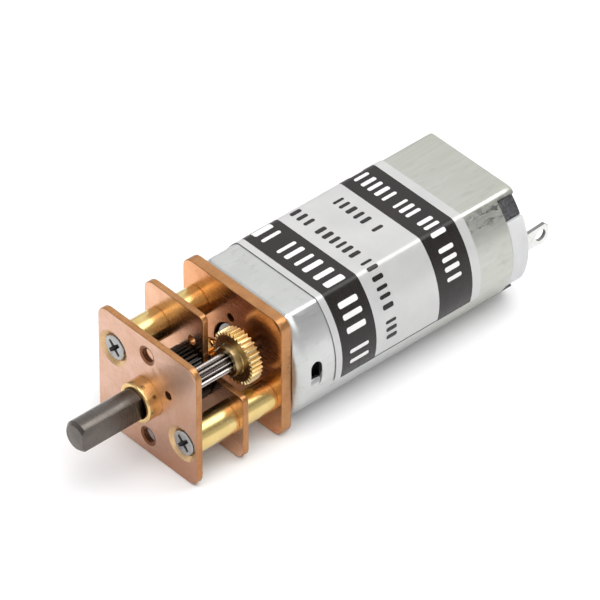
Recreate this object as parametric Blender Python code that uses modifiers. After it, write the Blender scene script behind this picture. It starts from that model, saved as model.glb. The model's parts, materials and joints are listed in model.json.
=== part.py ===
"""A small spur gearmotor: an open gearbox of three plates on a flat-sided brushed DC motor.

The parts are drawn in millimetres, under an empty that scales the whole assembly to metres. Each one
is placed from the output shaft's axis: x to the right and z up as seen from the shaft's end, and depth
back from the front plate's front face.
"""

import math

import bmesh
import bpy
from mathutils import Vector

# ---------------------------------------------------------------- driving dimensions

MM = 0.001  # metres in a millimetre
WELD = 1e-5  # points closer than this are one point
FIT = 0.03  # clearance of running and pressed fits
GAP = 0.05  # clearance of pieces that only rest on each other
END_GAP = 0.1  # how far a stud or an arbor stays inside its hole
STUD_GAP = 0.2  # room beyond a stud in a blind hole
OVERCUT = 1.0  # how far a cutter passes the face that it opens

# Gearbox plates, each (front face, back face)
PLATE_SIZE = 13.0
PLATE_CORNER = 1.2
FRONT_PLATE = (0.0, 0.65)
MIDDLE_PLATE = (5.35, 6.0)
REAR_PLATE = (9.85, 10.95)
NOTCH_CORNER = (1.25, 0.6)  # the middle plate is cut away above and to the right of this
MOUNT_SPACING = 9.2  # the two threaded mounting holes of the front plate
MOUNT_HOLE_RADIUS = 0.95

# Posts and screws, on one diagonal of the plates
POST_CENTRE = (4.5, -2.6)
POST_RADIUS = 1.5
POST_CHAMFER = 0.15
JOINT_DEPTH = 1.4  # how far one post's stud may reach into the next post
THREAD_RADIUS = 0.8
SCREW_DEPTH = 2.4
SCREW_POINT = 0.3
SCREW_EDGE = 0.1
SCREW_HEAD_RADIUS = 1.3
SCREW_HEAD_RECESS = 0.1
COUNTERSINK_RADIUS = 1.65
COUNTERSINK_DEPTH = 0.6
CROSS_ARM = (0.17, 0.72)  # half of an arm's width, and how far it reaches from the middle
CROSS_RECESS = (-0.4, 0.55)

# Output shaft
SHAFT_RADIUS = 1.5
SHAFT_TIP = -8.3
SHAFT_CHAMFER = 0.3
FLAT_FROM_AXIS = 0.95
FLAT_END = -1.7
JOURNAL_RADIUS = 1.0
BUSH_RADIUS = 1.95
BUSH = (-1.5, 1.0)
BUSH_CHAMFER = 0.15

# Gear train: two stages of the same pair of tooth counts, so both stages share one centre distance
MODULE = 0.15
PINION_TEETH = 10
GEAR_TEETH = 33
CENTRE_DISTANCE = MODULE * (PINION_TEETH + GEAR_TEETH) / 2
PRESSURE_ANGLE = math.radians(20)
BACKLASH = 0.03
ARBOR_ANGLE = math.radians(33)  # where the compound gear sits round the shaft
OUTPUT_GEAR = (3.1, 5.1)
OUTPUT_HUB = (2.3, 3.6)  # hubs reach into their gears, and are joined to them
OUTPUT_HUB_RADIUS = 2.1
COMPOUND_GEAR = (7.5, 8.7)
COMPOUND_HUB = (6.75, 8.1)
COMPOUND_HUB_RADIUS = 1.45
LONG_PINION = (1.0, 8.95)
ARBOR_RADIUS = 0.4
MOTOR_PINION = (7.3, 9.6)
SPARE_PIVOT_ANGLE = math.radians(94)
PIN_ANGLE = math.radians(208)
PIN_RADIUS = 0.68
PIN_CHAMFER = 0.15
PIN_HEIGHT = 0.25

# Motor can: a round tube with a flat top and bottom
CAN = (11.0, 38.3)
CAN_RADIUS = 7.75
CAN_HALF_HEIGHT = 5.8
CAN_EDGE = 0.8
CAN_WALL = 0.5
CAN_FRONT_ROUNDING = 0.65
BOSS_FRONT = 10.1
BOSS_RADIUS = 2.0
BOSS_HOLE_RADIUS = 2.4
RIM_DEPTH = 2.0  # how far the end bell's rim reaches forward from the back of the can
RIM_HALF_HEIGHT = 3.64
CUTOUT_HALF_HEIGHT = 3.7
SLOT = (12.3, 13.4)
SLOT_HALF_HEIGHT = 1.15
CUTTER_HALF_WIDTH = 2.5  # of the cutters that open the can's sides
CRIMP_WIDTH = 2.0
CRIMP_OFFSET = 2.9
CRIMP_HALF_HEIGHT = 0.4
CRIMP_OVERLAP = 0.2
CRIMP = (37.8, 38.2)

# Inside the motor
BEARING_RADIUS = 1.5
BEARING_LENGTH = 1.6
BEARING_RECESS = 0.2
MOTOR_SHAFT_CHAMFER = 0.15
MOTOR_SHAFT_RADIUS = 0.5
MOTOR_SHAFT_END_RADIUS = 0.4
MOTOR_SHAFT = (7.25, 38.6)
MAGNET = (14.2, 30.2)
MAGNET_INNER_RADIUS = 5.1
MAGNET_HALF_ANGLE = math.radians(43)
CORE = (16.4, 28.4)
CORE_RADIUS = 4.75
CORE_HUB_RADIUS = 1.6
POLE_COUNT = 3
POLE_WIDTH = 1.6
SHOE_INNER_RADIUS = 3.9
SHOE_HALF_ANGLE = math.radians(48)
COIL_WIDTH = 3.4
COIL_RADII = (1.9, 3.35)
COIL_OVERHANG = 0.9
COMMUTATOR = (31.6, 35.0)
COMMUTATOR_RADIUS = 1.4
SEGMENT_THICKNESS = 0.25
SEGMENT_MARGIN = 0.4
HALF_SEGMENT_GAP = math.radians(4)
WASHER_RADIUS = 1.1
WASHERS = {"front_washer": (12.4, 12.8), "rear_washer": (35.3, 35.6)}
BRUSH = (32.8, 34.4)
BRUSH_LENGTH = 0.9
BRUSH_HALF_HEIGHT = 0.6
BRUSH_CORNER = 0.1
SPRING_THICKNESS = 0.15
SPRING_HALF_HEIGHT = 0.7

# End bell and terminals
END_BELL_PLATE = (36.33, 37.7)
REAR_BOSS_RADIUS = 2.4
REAR_BOSS_END = 38.9
REAR_BOSS_CHAMFER = 0.3
DISH_HALF_SIZES = (5.9, 7.0)
TERMINAL_X = 6.65
TERMINAL_THICKNESS = 0.35
TERMINAL_HALF_WIDTH = 0.925
TERMINAL_TIP = 41.5
TERMINAL_CHAMFER = 0.45
TERMINAL_FOOT = 0.38  # the thickness of the foot inside the can
TERMINAL_HOLE = (40.55, 0.58)  # depth of the hole's centre, and its radius

# Label wrapped over the top of the can
LABEL = (15.05, 32.3)
LABEL_THICKNESS = 0.06
LABEL_LOWER_EDGE = -2.1

LENGTH_CENTRE = (SHAFT_TIP + TERMINAL_TIP) / 2
FACING_FRONT = (math.pi / 2, 0.0, 0.0)  # turns a drawing's plane to face the shaft's end

MATERIALS = {  # colour, metallic, roughness
    "copper_plate": ((0.80, 0.52, 0.38), 1.0, 0.22),
    "brass": ((0.86, 0.66, 0.30), 1.0, 0.2),
    "bronze": ((0.55, 0.38, 0.22), 1.0, 0.5),
    "shaft_steel": ((0.32, 0.32, 0.33), 1.0, 0.35),
    "gear_steel": ((0.12, 0.12, 0.13), 1.0, 0.4),
    "pinion_steel": ((0.45, 0.45, 0.46), 1.0, 0.25),
    "screw_steel": ((0.75, 0.75, 0.76), 1.0, 0.25),
    "can_steel": ((0.70, 0.71, 0.71), 1.0, 0.35),
    "lamination": ((0.35, 0.36, 0.38), 1.0, 0.45),
    "magnet": ((0.10, 0.10, 0.11), 0.0, 0.6),
    "enamelled_wire": ((0.55, 0.24, 0.10), 0.6, 0.35),
    "nylon": ((0.82, 0.82, 0.80), 0.0, 0.45),
    "commutator_plastic": ((0.20, 0.13, 0.10), 0.0, 0.5),
    "copper": ((0.78, 0.45, 0.30), 1.0, 0.25),
    "graphite": ((0.08, 0.08, 0.08), 0.2, 0.6),
    "tinned_brass": ((0.80, 0.79, 0.74), 1.0, 0.3),
    "label": ((0.78, 0.78, 0.78), 0.3, 0.35),
}


# ---------------------------------------------------------------- scene and materials


def clear_scene():
    """Removes every object, so that the file holds this model alone."""
    for thing in list(bpy.data.objects):
        bpy.data.objects.remove(thing, do_unlink=True)


def new_collection(name):
    """A collection in the scene."""
    collection = bpy.data.collections.new(name)
    bpy.context.scene.collection.children.link(collection)
    return collection


def new_material(name):
    """A Principled BSDF material from the table."""
    colour, metallic, roughness = MATERIALS[name]
    material = bpy.data.materials.new(name)
    material.use_nodes = True
    shader = material.node_tree.nodes["Principled BSDF"]
    shader.inputs["Base Color"].default_value = (*colour, 1.0)
    shader.inputs["Metallic"].default_value = metallic
    shader.inputs["Roughness"].default_value = roughness
    material.diffuse_color = (*colour, 1.0)
    return material


def new_axis(name, x=0.0, z=0.0, parent=None):
    """An empty that marks an axis along the depth, x and z from its parent's axis."""
    axis = bpy.data.objects.new(name, None)
    axis.location = (x, 0.0, z)
    axis.parent = parent
    parts.objects.link(axis)
    return axis


def place(piece, parent, material, location=(0.0, 0.0, 0.0), rotation=FACING_FRONT):
    """Puts a finished object under its axis; without a material it is a cutter."""
    piece.parent = parent
    piece.location = location
    piece.rotation_euler = rotation
    if material is None:
        cutters.objects.link(piece)
        piece.display_type = "WIRE"
        piece.hide_render = True
        return piece
    parts.objects.link(piece)
    piece.data.materials.append(materials[material])
    return piece


# ---------------------------------------------------------------- shapes


def arc(radius, first, last, steps, centre=(0.0, 0.0)):
    """Points along an arc, both ends included."""
    angles = [first + (last - first) * step / steps for step in range(steps + 1)]
    return [(centre[0] + radius * math.cos(a), centre[1] + radius * math.sin(a)) for a in angles]


def circle(radius, steps=24, centre=(0.0, 0.0)):
    """A closed ring of points."""
    return arc(radius, 0.0, math.tau, steps, centre)[:-1]


def polar(radius, angle):
    """The point at a radius and an angle."""
    return (radius * math.cos(angle), radius * math.sin(angle))


def rounded(corners, steps=5):
    """A closed outline through corners (x, z, radius), each rounded by an arc of its radius."""
    outline = []
    for index, (x, z, radius) in enumerate(corners):
        here = Vector((x, z))
        if radius == 0.0:
            outline.append((x, z))
            continue
        to_last = (Vector(corners[index - 1][:2]) - here).normalized()
        to_next = (Vector(corners[(index + 1) % len(corners)][:2]) - here).normalized()
        half_angle = to_last.angle(to_next) / 2
        tangent = radius / math.tan(half_angle)
        centre = here + (to_last + to_next).normalized() * radius / math.sin(half_angle)
        start = here + to_last * tangent - centre
        end = here + to_next * tangent - centre
        first = math.atan2(start.y, start.x)
        sweep = (math.atan2(end.y, end.x) - first + math.pi) % math.tau - math.pi
        outline += arc(radius, first, first + sweep, steps, centre)
    return outline


def box(half_width, low, high, corner=0.0):
    """A rectangle across x, from a low to a high second coordinate."""
    return [
        (-half_width, low, corner),
        (half_width, low, corner),
        (half_width, high, corner),
        (-half_width, high, corner),
    ]


def can_section(inset=0.0, steps=14):
    """The can's section: two side arcs, a flat top and bottom, and rounded edges between."""
    radius = CAN_RADIUS - inset
    half_height = CAN_HALF_HEIGHT - inset
    edge = max(CAN_EDGE - inset, 0.2)
    edge_x = math.sqrt((radius - edge) ** 2 - (half_height - edge) ** 2)
    angle = math.atan2(half_height - edge, edge_x)
    right = arc(edge, -math.pi / 2, -angle, 3, (edge_x, edge - half_height))[:-1]
    right += arc(radius, -angle, angle, steps)
    right += arc(edge, angle, math.pi / 2, 3, (edge_x, half_height - edge))[1:]
    return right + [(-x, -z) for x, z in right]


def gear_outline(teeth, phase):
    """A spur gear with involute flanks; phase is the angle of one tooth's middle."""
    pitch = MODULE * teeth / 2
    base = pitch * math.cos(PRESSURE_ANGLE)
    root = pitch - 1.25 * MODULE
    tip = pitch + MODULE
    half_tooth = math.pi / (2 * teeth) - BACKLASH / (2 * pitch)
    involute_at_pitch = math.tan(PRESSURE_ANGLE) - PRESSURE_ANGLE

    def half_angle(radius):
        """Half of the angle that a tooth fills at a radius."""
        pressure = math.acos(min(base / radius, 1.0))
        return half_tooth + involute_at_pitch - math.tan(pressure) + pressure

    flank = [(root, half_angle(root)), (pitch, half_angle(pitch)), (tip, half_angle(tip))]
    outline = []
    for tooth in range(teeth):
        middle = phase + math.tau * tooth / teeth
        outline += [polar(radius, middle - angle) for radius, angle in flank]
        outline += [polar(radius, middle + angle) for radius, angle in reversed(flank)]
    return outline


def extruded(name, outline, span, parent, material=None, holes=(), **placing):
    """A flat outline with holes, drawn in x and z and filled between two depths."""
    curve = bpy.data.curves.new(name, "CURVE")
    curve.dimensions = "2D"
    curve.fill_mode = "BOTH"
    curve.extrude = (span[1] - span[0]) / 2
    for ring in (outline, *holes):
        spline = curve.splines.new("POLY")
        spline.points.add(len(ring) - 1)
        spline.use_cyclic_u = True
        for point, (x, z) in zip(spline.points, ring):
            point.co = (x, z, 0.0, 1.0)
    drawing = bpy.data.objects.new(name + "_drawing", curve)
    bpy.context.scene.collection.objects.link(drawing)
    evaluated = drawing.evaluated_get(bpy.context.evaluated_depsgraph_get())
    mesh = bpy.data.meshes.new_from_object(evaluated)
    mesh.name = name
    bpy.data.objects.remove(drawing)
    bpy.data.curves.remove(curve)
    work = bmesh.new()
    work.from_mesh(mesh)
    bmesh.ops.remove_doubles(work, verts=work.verts, dist=WELD)
    bmesh.ops.recalc_face_normals(work, faces=work.faces)
    work.to_mesh(mesh)
    work.free()
    piece = bpy.data.objects.new(name, mesh)
    placing.setdefault("location", (0.0, (span[0] + span[1]) / 2, 0.0))
    return place(piece, parent, material, **placing)


def turned(name, profile, parent, material=None, closed=False, steps=24, **placing):
    """A profile of (radius, depth) from front to back, turned round its axis."""
    mesh = bpy.data.meshes.new(name)
    edges = [(index, index + 1) for index in range(len(profile) - 1)]
    if closed:
        edges.append((len(profile) - 1, 0))
    mesh.from_pydata([(radius, 0.0, -depth) for radius, depth in profile], edges, [])
    piece = bpy.data.objects.new(name, mesh)
    screw = piece.modifiers.new("turn", "SCREW")
    screw.steps = steps
    screw.render_steps = steps
    screw.use_merge_vertices = True
    screw.merge_threshold = WELD
    screw.use_smooth_shade = True
    return place(piece, parent, material, **placing)


def ring(name, inner, outer, span, parent, material=None, steps=24, **placing):
    """A plain tube."""
    profile = [(outer, span[0]), (outer, span[1]), (inner, span[1]), (inner, span[0])]
    return turned(name, profile, parent, material, closed=True, steps=steps, **placing)


def boolean(piece, operation, *others):
    """Cuts or joins other objects into a piece."""
    for other in others:
        modifier = piece.modifiers.new(operation.lower(), "BOOLEAN")
        modifier.operation = operation
        modifier.solver = "EXACT"
        modifier.object = other


def round_front_edge(piece, width, segments):
    """Rounds the loop of edges at a piece's front, which is its drawing's highest plane."""
    work = bmesh.new()
    work.from_mesh(piece.data)
    bmesh.ops.dissolve_limit(work, angle_limit=0.01, verts=[], edges=work.edges)
    front = max(vert.co.z for vert in work.verts)
    edges = [edge for edge in work.edges if all(front - v.co.z < WELD for v in edge.verts)]
    bmesh.ops.bevel(
        work, geom=edges, offset=width, segments=segments, profile=0.5, affect="EDGES"
    )
    work.to_mesh(piece.data)
    work.free()


# ---------------------------------------------------------------- gearbox


def post_places():
    """The two post axes, with the word that tells them apart."""
    x, z = POST_CENTRE
    return (("left", (-x, -z)), ("right", (x, z)))


def build_plates(axis):
    """The three plates: a square front and rear plate, and a middle one with its corner cut out."""
    half = PLATE_SIZE / 2
    square = rounded(box(half, -half, half, PLATE_CORNER))
    post_holes = [circle(THREAD_RADIUS + FIT, 16, place) for _, place in post_places()]
    arbor = polar(CENTRE_DISTANCE, ARBOR_ANGLE)
    arbor_hole = circle(ARBOR_RADIUS + FIT, 14, arbor)
    spare_hole = circle(ARBOR_RADIUS + FIT, 14, polar(CENTRE_DISTANCE, SPARE_PIVOT_ANGLE))
    mount_holes = [
        circle(MOUNT_HOLE_RADIUS, 20, (0.0, side * MOUNT_SPACING / 2)) for side in (-1, 1)
    ]
    bush_hole = circle(BUSH_RADIUS + FIT, 28)
    front_holes = [bush_hole, arbor_hole, *mount_holes, *post_holes]
    front = extruded("front_plate", square, FRONT_PLATE, axis, "copper_plate", front_holes)
    for side, (x, z) in post_places():
        sink = [
            (0.0, -0.5),
            (COUNTERSINK_RADIUS + 0.5, -0.5),
            (COUNTERSINK_RADIUS, 0.0),
            (COUNTERSINK_RADIUS - COUNTERSINK_DEPTH, COUNTERSINK_DEPTH),
            (0.0, COUNTERSINK_DEPTH),
        ]
        boolean(front, "DIFFERENCE", turned(f"countersink_{side}", sink, axis, location=(x, 0, z)))

    notch_x, notch_z = NOTCH_CORNER
    notched = [
        (-half, -half, PLATE_CORNER),
        (half, -half, PLATE_CORNER),
        (half, notch_z, PLATE_CORNER / 2),
        (notch_x, notch_z, PLATE_CORNER / 4),
        (notch_x, half, PLATE_CORNER / 2),
        (-half, half, PLATE_CORNER),
    ]
    journal_hole = circle(JOURNAL_RADIUS + FIT, 20)
    middle_holes = [journal_hole, spare_hole, *post_holes]
    extruded("middle_plate", rounded(notched), MIDDLE_PLATE, axis, "copper_plate", middle_holes)

    pin_hole = circle(PIN_RADIUS + FIT, 16, polar(CENTRE_DISTANCE, PIN_ANGLE))
    boss_hole = circle(BOSS_HOLE_RADIUS, 32)
    rear_holes = [boss_hole, arbor_hole, spare_hole, pin_hole, *post_holes]
    extruded("rear_plate", square, REAR_PLATE, axis, "copper_plate", rear_holes)


def build_posts(axis):
    """Brass posts between the plates; each has a stud at its back and a hole at its front."""
    stud = THREAD_RADIUS
    front_span = (FRONT_PLATE[1] + GAP, MIDDLE_PLATE[0] - GAP)
    rear_span = (MIDDLE_PLATE[1] + GAP, REAR_PLATE[0] - GAP)
    for side, (x, z) in post_places():
        for name, (front, back), hole, stud_end in (
            ("front_spacer", front_span, SCREW_DEPTH + SCREW_POINT, rear_span[0] + JOINT_DEPTH - STUD_GAP),
            ("rear_spacer", rear_span, JOINT_DEPTH, REAR_PLATE[1] - END_GAP),
        ):
            profile = [
                (0.0, front + hole),
                (stud + FIT, front + hole),
                (stud + FIT, front),
                (POST_RADIUS - POST_CHAMFER, front),
                (POST_RADIUS, front + POST_CHAMFER),
                (POST_RADIUS, back - POST_CHAMFER),
                (POST_RADIUS - POST_CHAMFER, back),
                (stud, back),
                (stud, stud_end),
                (0.0, stud_end),
            ]
            turned(f"{name}_{side}", profile, axis, "brass", steps=20, location=(x, 0, z))


def build_frame_screws(axis):
    """Two countersunk screws with a cross recess, through the front plate into the posts."""
    recess = SCREW_HEAD_RECESS
    thread = THREAD_RADIUS - FIT
    cone_end = recess + SCREW_HEAD_RADIUS - thread
    for side, (x, z) in post_places():
        profile = [
            (0.0, recess),
            (SCREW_HEAD_RADIUS - SCREW_EDGE, recess),
            (SCREW_HEAD_RADIUS, recess + SCREW_EDGE),
            (thread, cone_end),
            (thread, SCREW_DEPTH),
            (thread - SCREW_POINT, SCREW_DEPTH + SCREW_POINT),
            (0.0, SCREW_DEPTH + SCREW_POINT),
        ]
        screw = turned(f"frame_screw_{side}", profile, axis, "screw_steel", steps=20, location=(x, 0, z))
        arm, reach = CROSS_ARM
        cross = []
        for quarter in range(4):
            turn = math.radians(45) + quarter * math.pi / 2
            for along, across in ((arm, -arm), (reach, -arm), (reach, arm)):
                cross.append(
                    (
                        along * math.cos(turn) - across * math.sin(turn),
                        along * math.sin(turn) + across * math.cos(turn),
                    )
                )
        middle = sum(CROSS_RECESS) / 2
        tool = extruded(
            f"cross_recess_{side}", cross, CROSS_RECESS, axis, location=(x, middle, z)
        )
        boolean(screw, "DIFFERENCE", tool)


def build_locating_pin(axis):
    """A brass pin in the rear plate."""
    x, z = polar(CENTRE_DISTANCE, PIN_ANGLE)
    front, back = REAR_PLATE[0] - PIN_HEIGHT, REAR_PLATE[1] - FIT
    profile = [
        (0.0, front),
        (PIN_RADIUS - PIN_CHAMFER, front),
        (PIN_RADIUS, front + PIN_CHAMFER),
        (PIN_RADIUS, back),
        (0.0, back),
    ]
    turned("locating_pin", profile, axis, "brass", steps=16, location=(x, 0, z))


def build_output(axis, frame_axis):
    """The bush in the front plate, and the D-shaft with its gear."""
    bush = [
        (BUSH_RADIUS - BUSH_CHAMFER, BUSH[0]),
        (BUSH_RADIUS, BUSH[0] + BUSH_CHAMFER),
        (BUSH_RADIUS, BUSH[1]),
        (SHAFT_RADIUS + FIT, BUSH[1]),
        (SHAFT_RADIUS + FIT, BUSH[0]),
    ]
    turned("output_bush", bush, frame_axis, "brass", closed=True, steps=32)

    shoulder = MIDDLE_PLATE[0] - GAP
    end = MIDDLE_PLATE[1]
    profile = [
        (0.0, SHAFT_TIP),
        (SHAFT_RADIUS - SHAFT_CHAMFER, SHAFT_TIP),
        (SHAFT_RADIUS, SHAFT_TIP + SHAFT_CHAMFER),
        (SHAFT_RADIUS, shoulder),
        (JOURNAL_RADIUS, shoulder),
        (JOURNAL_RADIUS, end),
        (0.0, end),
    ]
    shaft = turned("output_shaft", profile, axis, "shaft_steel", steps=32)
    waste = box(SHAFT_RADIUS + OVERCUT, FLAT_FROM_AXIS, SHAFT_RADIUS + OVERCUT)
    waste = [(z, x) for x, z, _ in reversed(waste)]
    flat = extruded("shaft_flat", waste, (SHAFT_TIP - OVERCUT, FLAT_END), axis)
    boolean(shaft, "DIFFERENCE", flat)

    gear_phase = ARBOR_ANGLE + math.pi / GEAR_TEETH
    bore = circle(SHAFT_RADIUS + FIT, 24)
    gear = extruded(
        "output_gear", gear_outline(GEAR_TEETH, gear_phase), OUTPUT_GEAR, axis, "gear_steel", [bore]
    )
    hub = ring("output_gear_hub", SHAFT_RADIUS + FIT, OUTPUT_HUB_RADIUS, OUTPUT_HUB, axis)
    boolean(gear, "UNION", hub)


def build_compound(axis):
    """The brass gear and the long steel pinion that it turns, on one arbor."""
    gear_phase = ARBOR_ANGLE + math.pi + math.pi / GEAR_TEETH
    seat = MODULE * PINION_TEETH / 2 + MODULE + FIT
    gear = extruded(
        "compound_gear",
        gear_outline(GEAR_TEETH, gear_phase),
        COMPOUND_GEAR,
        axis,
        "brass",
        [circle(seat, 20)],
    )
    hub = ring("compound_hub", seat, COMPOUND_HUB_RADIUS, COMPOUND_HUB, axis)
    boolean(gear, "UNION", hub)

    pinion = extruded(
        "compound_pinion",
        gear_outline(PINION_TEETH, ARBOR_ANGLE + math.pi),
        LONG_PINION,
        axis,
        "pinion_steel",
    )
    front, back = FRONT_PLATE[0] + END_GAP, REAR_PLATE[1] - END_GAP
    arbor = [(0.0, front), (ARBOR_RADIUS, front), (ARBOR_RADIUS, back), (0.0, back)]
    boolean(pinion, "UNION", turned("compound_arbor", arbor, axis, steps=14))


# ---------------------------------------------------------------- motor


def build_can(axis):
    """The drawn can: a cup with a front boss, side slots, and sides cut back for the end bell."""
    can = extruded("motor_can", can_section(), CAN, axis, "can_steel")
    round_front_edge(can, CAN_FRONT_ROUNDING, 3)
    inside = (CAN[0] + CAN_WALL, CAN[1] + OVERCUT)
    cavity = extruded("can_cavity", can_section(CAN_WALL), inside, axis)
    boolean(can, "DIFFERENCE", cavity)
    boss_root = CAN[0] + CAN_WALL / 2
    boss = turned(
        "can_boss",
        [(0.0, BOSS_FRONT), (BOSS_RADIUS, BOSS_FRONT), (BOSS_RADIUS, boss_root), (0.0, boss_root)],
        axis,
        steps=28,
    )
    boolean(can, "UNION", boss)
    hole_radius = BEARING_RADIUS + FIT
    front, back = BOSS_FRONT - OVERCUT, CAN[0] + CAN_WALL + OVERCUT
    hole = [(0.0, front), (hole_radius, front), (hole_radius, back), (0.0, back)]
    boolean(can, "DIFFERENCE", turned("bearing_hole", hole, axis))

    rim = (CAN[1] - RIM_DEPTH, CAN[1] + OVERCUT)
    for side, sign in (("left", -1), ("right", 1)):
        cutout = rounded(box(CUTTER_HALF_WIDTH, -CUTOUT_HALF_HEIGHT, CUTOUT_HALF_HEIGHT))
        tool = extruded(
            f"rim_cutout_{side}",
            cutout,
            rim,
            axis,
            location=(sign * CAN_RADIUS, sum(rim) / 2, 0),
        )
        slot = rounded(box(CUTTER_HALF_WIDTH, -SLOT_HALF_HEIGHT, SLOT_HALF_HEIGHT))
        slot_tool = extruded(
            f"slot_cutout_{side}",
            slot,
            SLOT,
            axis,
            location=(sign * CAN_RADIUS, sum(SLOT) / 2, 0),
        )
        boolean(can, "DIFFERENCE", tool, slot_tool)
    inner_top = CAN_HALF_HEIGHT - CAN_WALL
    for index in range(4):
        up = 1 if index < 2 else -1
        sideways = 1 if index % 2 else -1
        tab = rounded(box(CRIMP_WIDTH / 2, -CRIMP_HALF_HEIGHT, CRIMP_HALF_HEIGHT))
        z = up * (inner_top - CRIMP_OVERLAP)
        crimp = extruded(
            f"crimp_{index + 1}",
            tab,
            CRIMP,
            axis,
            location=(sideways * CRIMP_OFFSET, sum(CRIMP) / 2, z),
        )
        boolean(can, "UNION", crimp)


def end_bell_section():
    """The bell fills the can's mouth, and reaches out to the can's outer face at the sides."""
    inner = CAN_RADIUS - CAN_WALL - GAP
    outer = CAN_RADIUS - 0.01
    half_height = CAN_HALF_HEIGHT - CAN_WALL - GAP
    rim_angle = math.asin(RIM_HALF_HEIGHT / outer)
    top_angle = math.asin(half_height / inner) - 0.03
    right = arc(inner, -top_angle, -rim_angle, 2)
    right += arc(outer, -rim_angle, rim_angle, 8)
    right += arc(inner, rim_angle, top_angle, 2)
    return right + [(-x, -z) for x, z in right]


def build_end_bell(axis):
    """The nylon end bell, its rim, and the rear bearing's boss."""
    front, back = END_BELL_PLATE
    slots = [
        [
            (sign * TERMINAL_X + dx, z)
            for dx, z in (
                (-TERMINAL_THICKNESS / 2 - FIT, -TERMINAL_HALF_WIDTH - FIT),
                (TERMINAL_THICKNESS / 2 + FIT, -TERMINAL_HALF_WIDTH - FIT),
                (TERMINAL_THICKNESS / 2 + FIT, TERMINAL_HALF_WIDTH + FIT),
                (-TERMINAL_THICKNESS / 2 - FIT, TERMINAL_HALF_WIDTH + FIT),
            )
        ]
        for sign in (-1, 1)
    ]
    bell = extruded("end_bell", end_bell_section(), (front, CAN[1]), axis, "nylon", slots)
    half_width, half_height = DISH_HALF_SIZES
    dish = rounded(box(half_width, -half_height, half_height))
    boolean(bell, "DIFFERENCE", extruded("bell_dish", dish, (back, CAN[1] + OVERCUT), axis))
    boss_root = (front + back) / 2
    boss = turned(
        "bell_boss",
        [
            (0.0, boss_root),
            (REAR_BOSS_RADIUS, boss_root),
            (REAR_BOSS_RADIUS, REAR_BOSS_END - REAR_BOSS_CHAMFER),
            (REAR_BOSS_RADIUS - REAR_BOSS_CHAMFER, REAR_BOSS_END),
            (0.0, REAR_BOSS_END),
        ],
        axis,
        steps=28,
    )
    boolean(bell, "UNION", boss)
    hole_radius = BEARING_RADIUS + FIT
    front, back = front - OVERCUT, REAR_BOSS_END + OVERCUT
    hole = [(0.0, front), (hole_radius, front), (hole_radius, back), (0.0, back)]
    boolean(bell, "DIFFERENCE", turned("rear_bearing_hole", hole, axis))


def build_terminals(axis):
    """Two bent solder terminals, each with a brush spring and a brush inside the can."""
    foot_back = END_BELL_PLATE[0] - GAP
    foot_front = foot_back - TERMINAL_FOOT
    half = TERMINAL_THICKNESS / 2
    spring_x = COMMUTATOR_RADIUS + FIT + BRUSH_LENGTH + FIT
    for side, sign in (("left", -1), ("right", 1)):
        bent = [
            (spring_x, foot_front, 0.0),
            (TERMINAL_X + half, foot_front, 0.0),
            (TERMINAL_X + half, TERMINAL_TIP, 0.0),
            (TERMINAL_X - half, TERMINAL_TIP, 0.0),
            (TERMINAL_X - half, foot_back, 0.0),
            (spring_x, foot_back, 0.0),
        ]
        outline = [(sign * x, -depth) for x, depth, _ in bent]
        terminal = extruded(
            f"terminal_{side}",
            outline,
            (-TERMINAL_HALF_WIDTH, TERMINAL_HALF_WIDTH),
            axis,
            "tinned_brass",
            location=(0, 0, 0),
            rotation=(math.pi, 0.0, 0.0),
        )
        corner = TERMINAL_HALF_WIDTH
        for end, up in (("top", 1), ("bottom", -1)):
            wedge = [
                (TERMINAL_TIP - TERMINAL_CHAMFER, up * (corner + OVERCUT)),
                (TERMINAL_TIP - TERMINAL_CHAMFER, up * corner),
                (TERMINAL_TIP, up * (corner - TERMINAL_CHAMFER)),
                (TERMINAL_TIP + OVERCUT, up * (corner - TERMINAL_CHAMFER)),
                (TERMINAL_TIP + OVERCUT, up * (corner + OVERCUT)),
            ]
            boolean(
                terminal,
                "DIFFERENCE",
                side_cutter(f"terminal_chamfer_{end}_{side}", wedge, sign * TERMINAL_X, axis),
            )
        depth, radius = TERMINAL_HOLE
        hole = circle(radius, 16, (depth, 0.0))
        boolean(
            terminal, "DIFFERENCE", side_cutter(f"terminal_hole_{side}", hole, sign * TERMINAL_X, axis)
        )
        spring_outer = spring_x + SPRING_THICKNESS
        leaf = [(spring_x, BRUSH[0]), (spring_outer, BRUSH[0])]
        leaf += [(spring_outer, foot_front - FIT), (spring_x, foot_front - FIT)]
        extruded(
            f"brush_spring_{side}",
            [(sign * x, -depth) for x, depth in leaf],
            (-SPRING_HALF_HEIGHT, SPRING_HALF_HEIGHT),
            axis,
            "copper",
            location=(0, 0, 0),
            rotation=(math.pi, 0.0, 0.0),
        )
        brush_corners = box(BRUSH_LENGTH / 2, -BRUSH_HALF_HEIGHT, BRUSH_HALF_HEIGHT, BRUSH_CORNER)
        brush = rounded(brush_corners, 2)
        brush_x = sign * (COMMUTATOR_RADIUS + FIT + BRUSH_LENGTH / 2)
        extruded(
            f"brush_{side}", brush, BRUSH, axis, "graphite", location=(brush_x, sum(BRUSH) / 2, 0)
        )


def side_cutter(name, outline, x, parent):
    """A cutter across x, from an outline of (depth, z)."""
    return extruded(
        name,
        outline,
        (-1.0, 1.0),
        parent,
        location=(x, 0.0, 0.0),
        rotation=(math.pi / 2, 0.0, math.pi / 2),
    )


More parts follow.
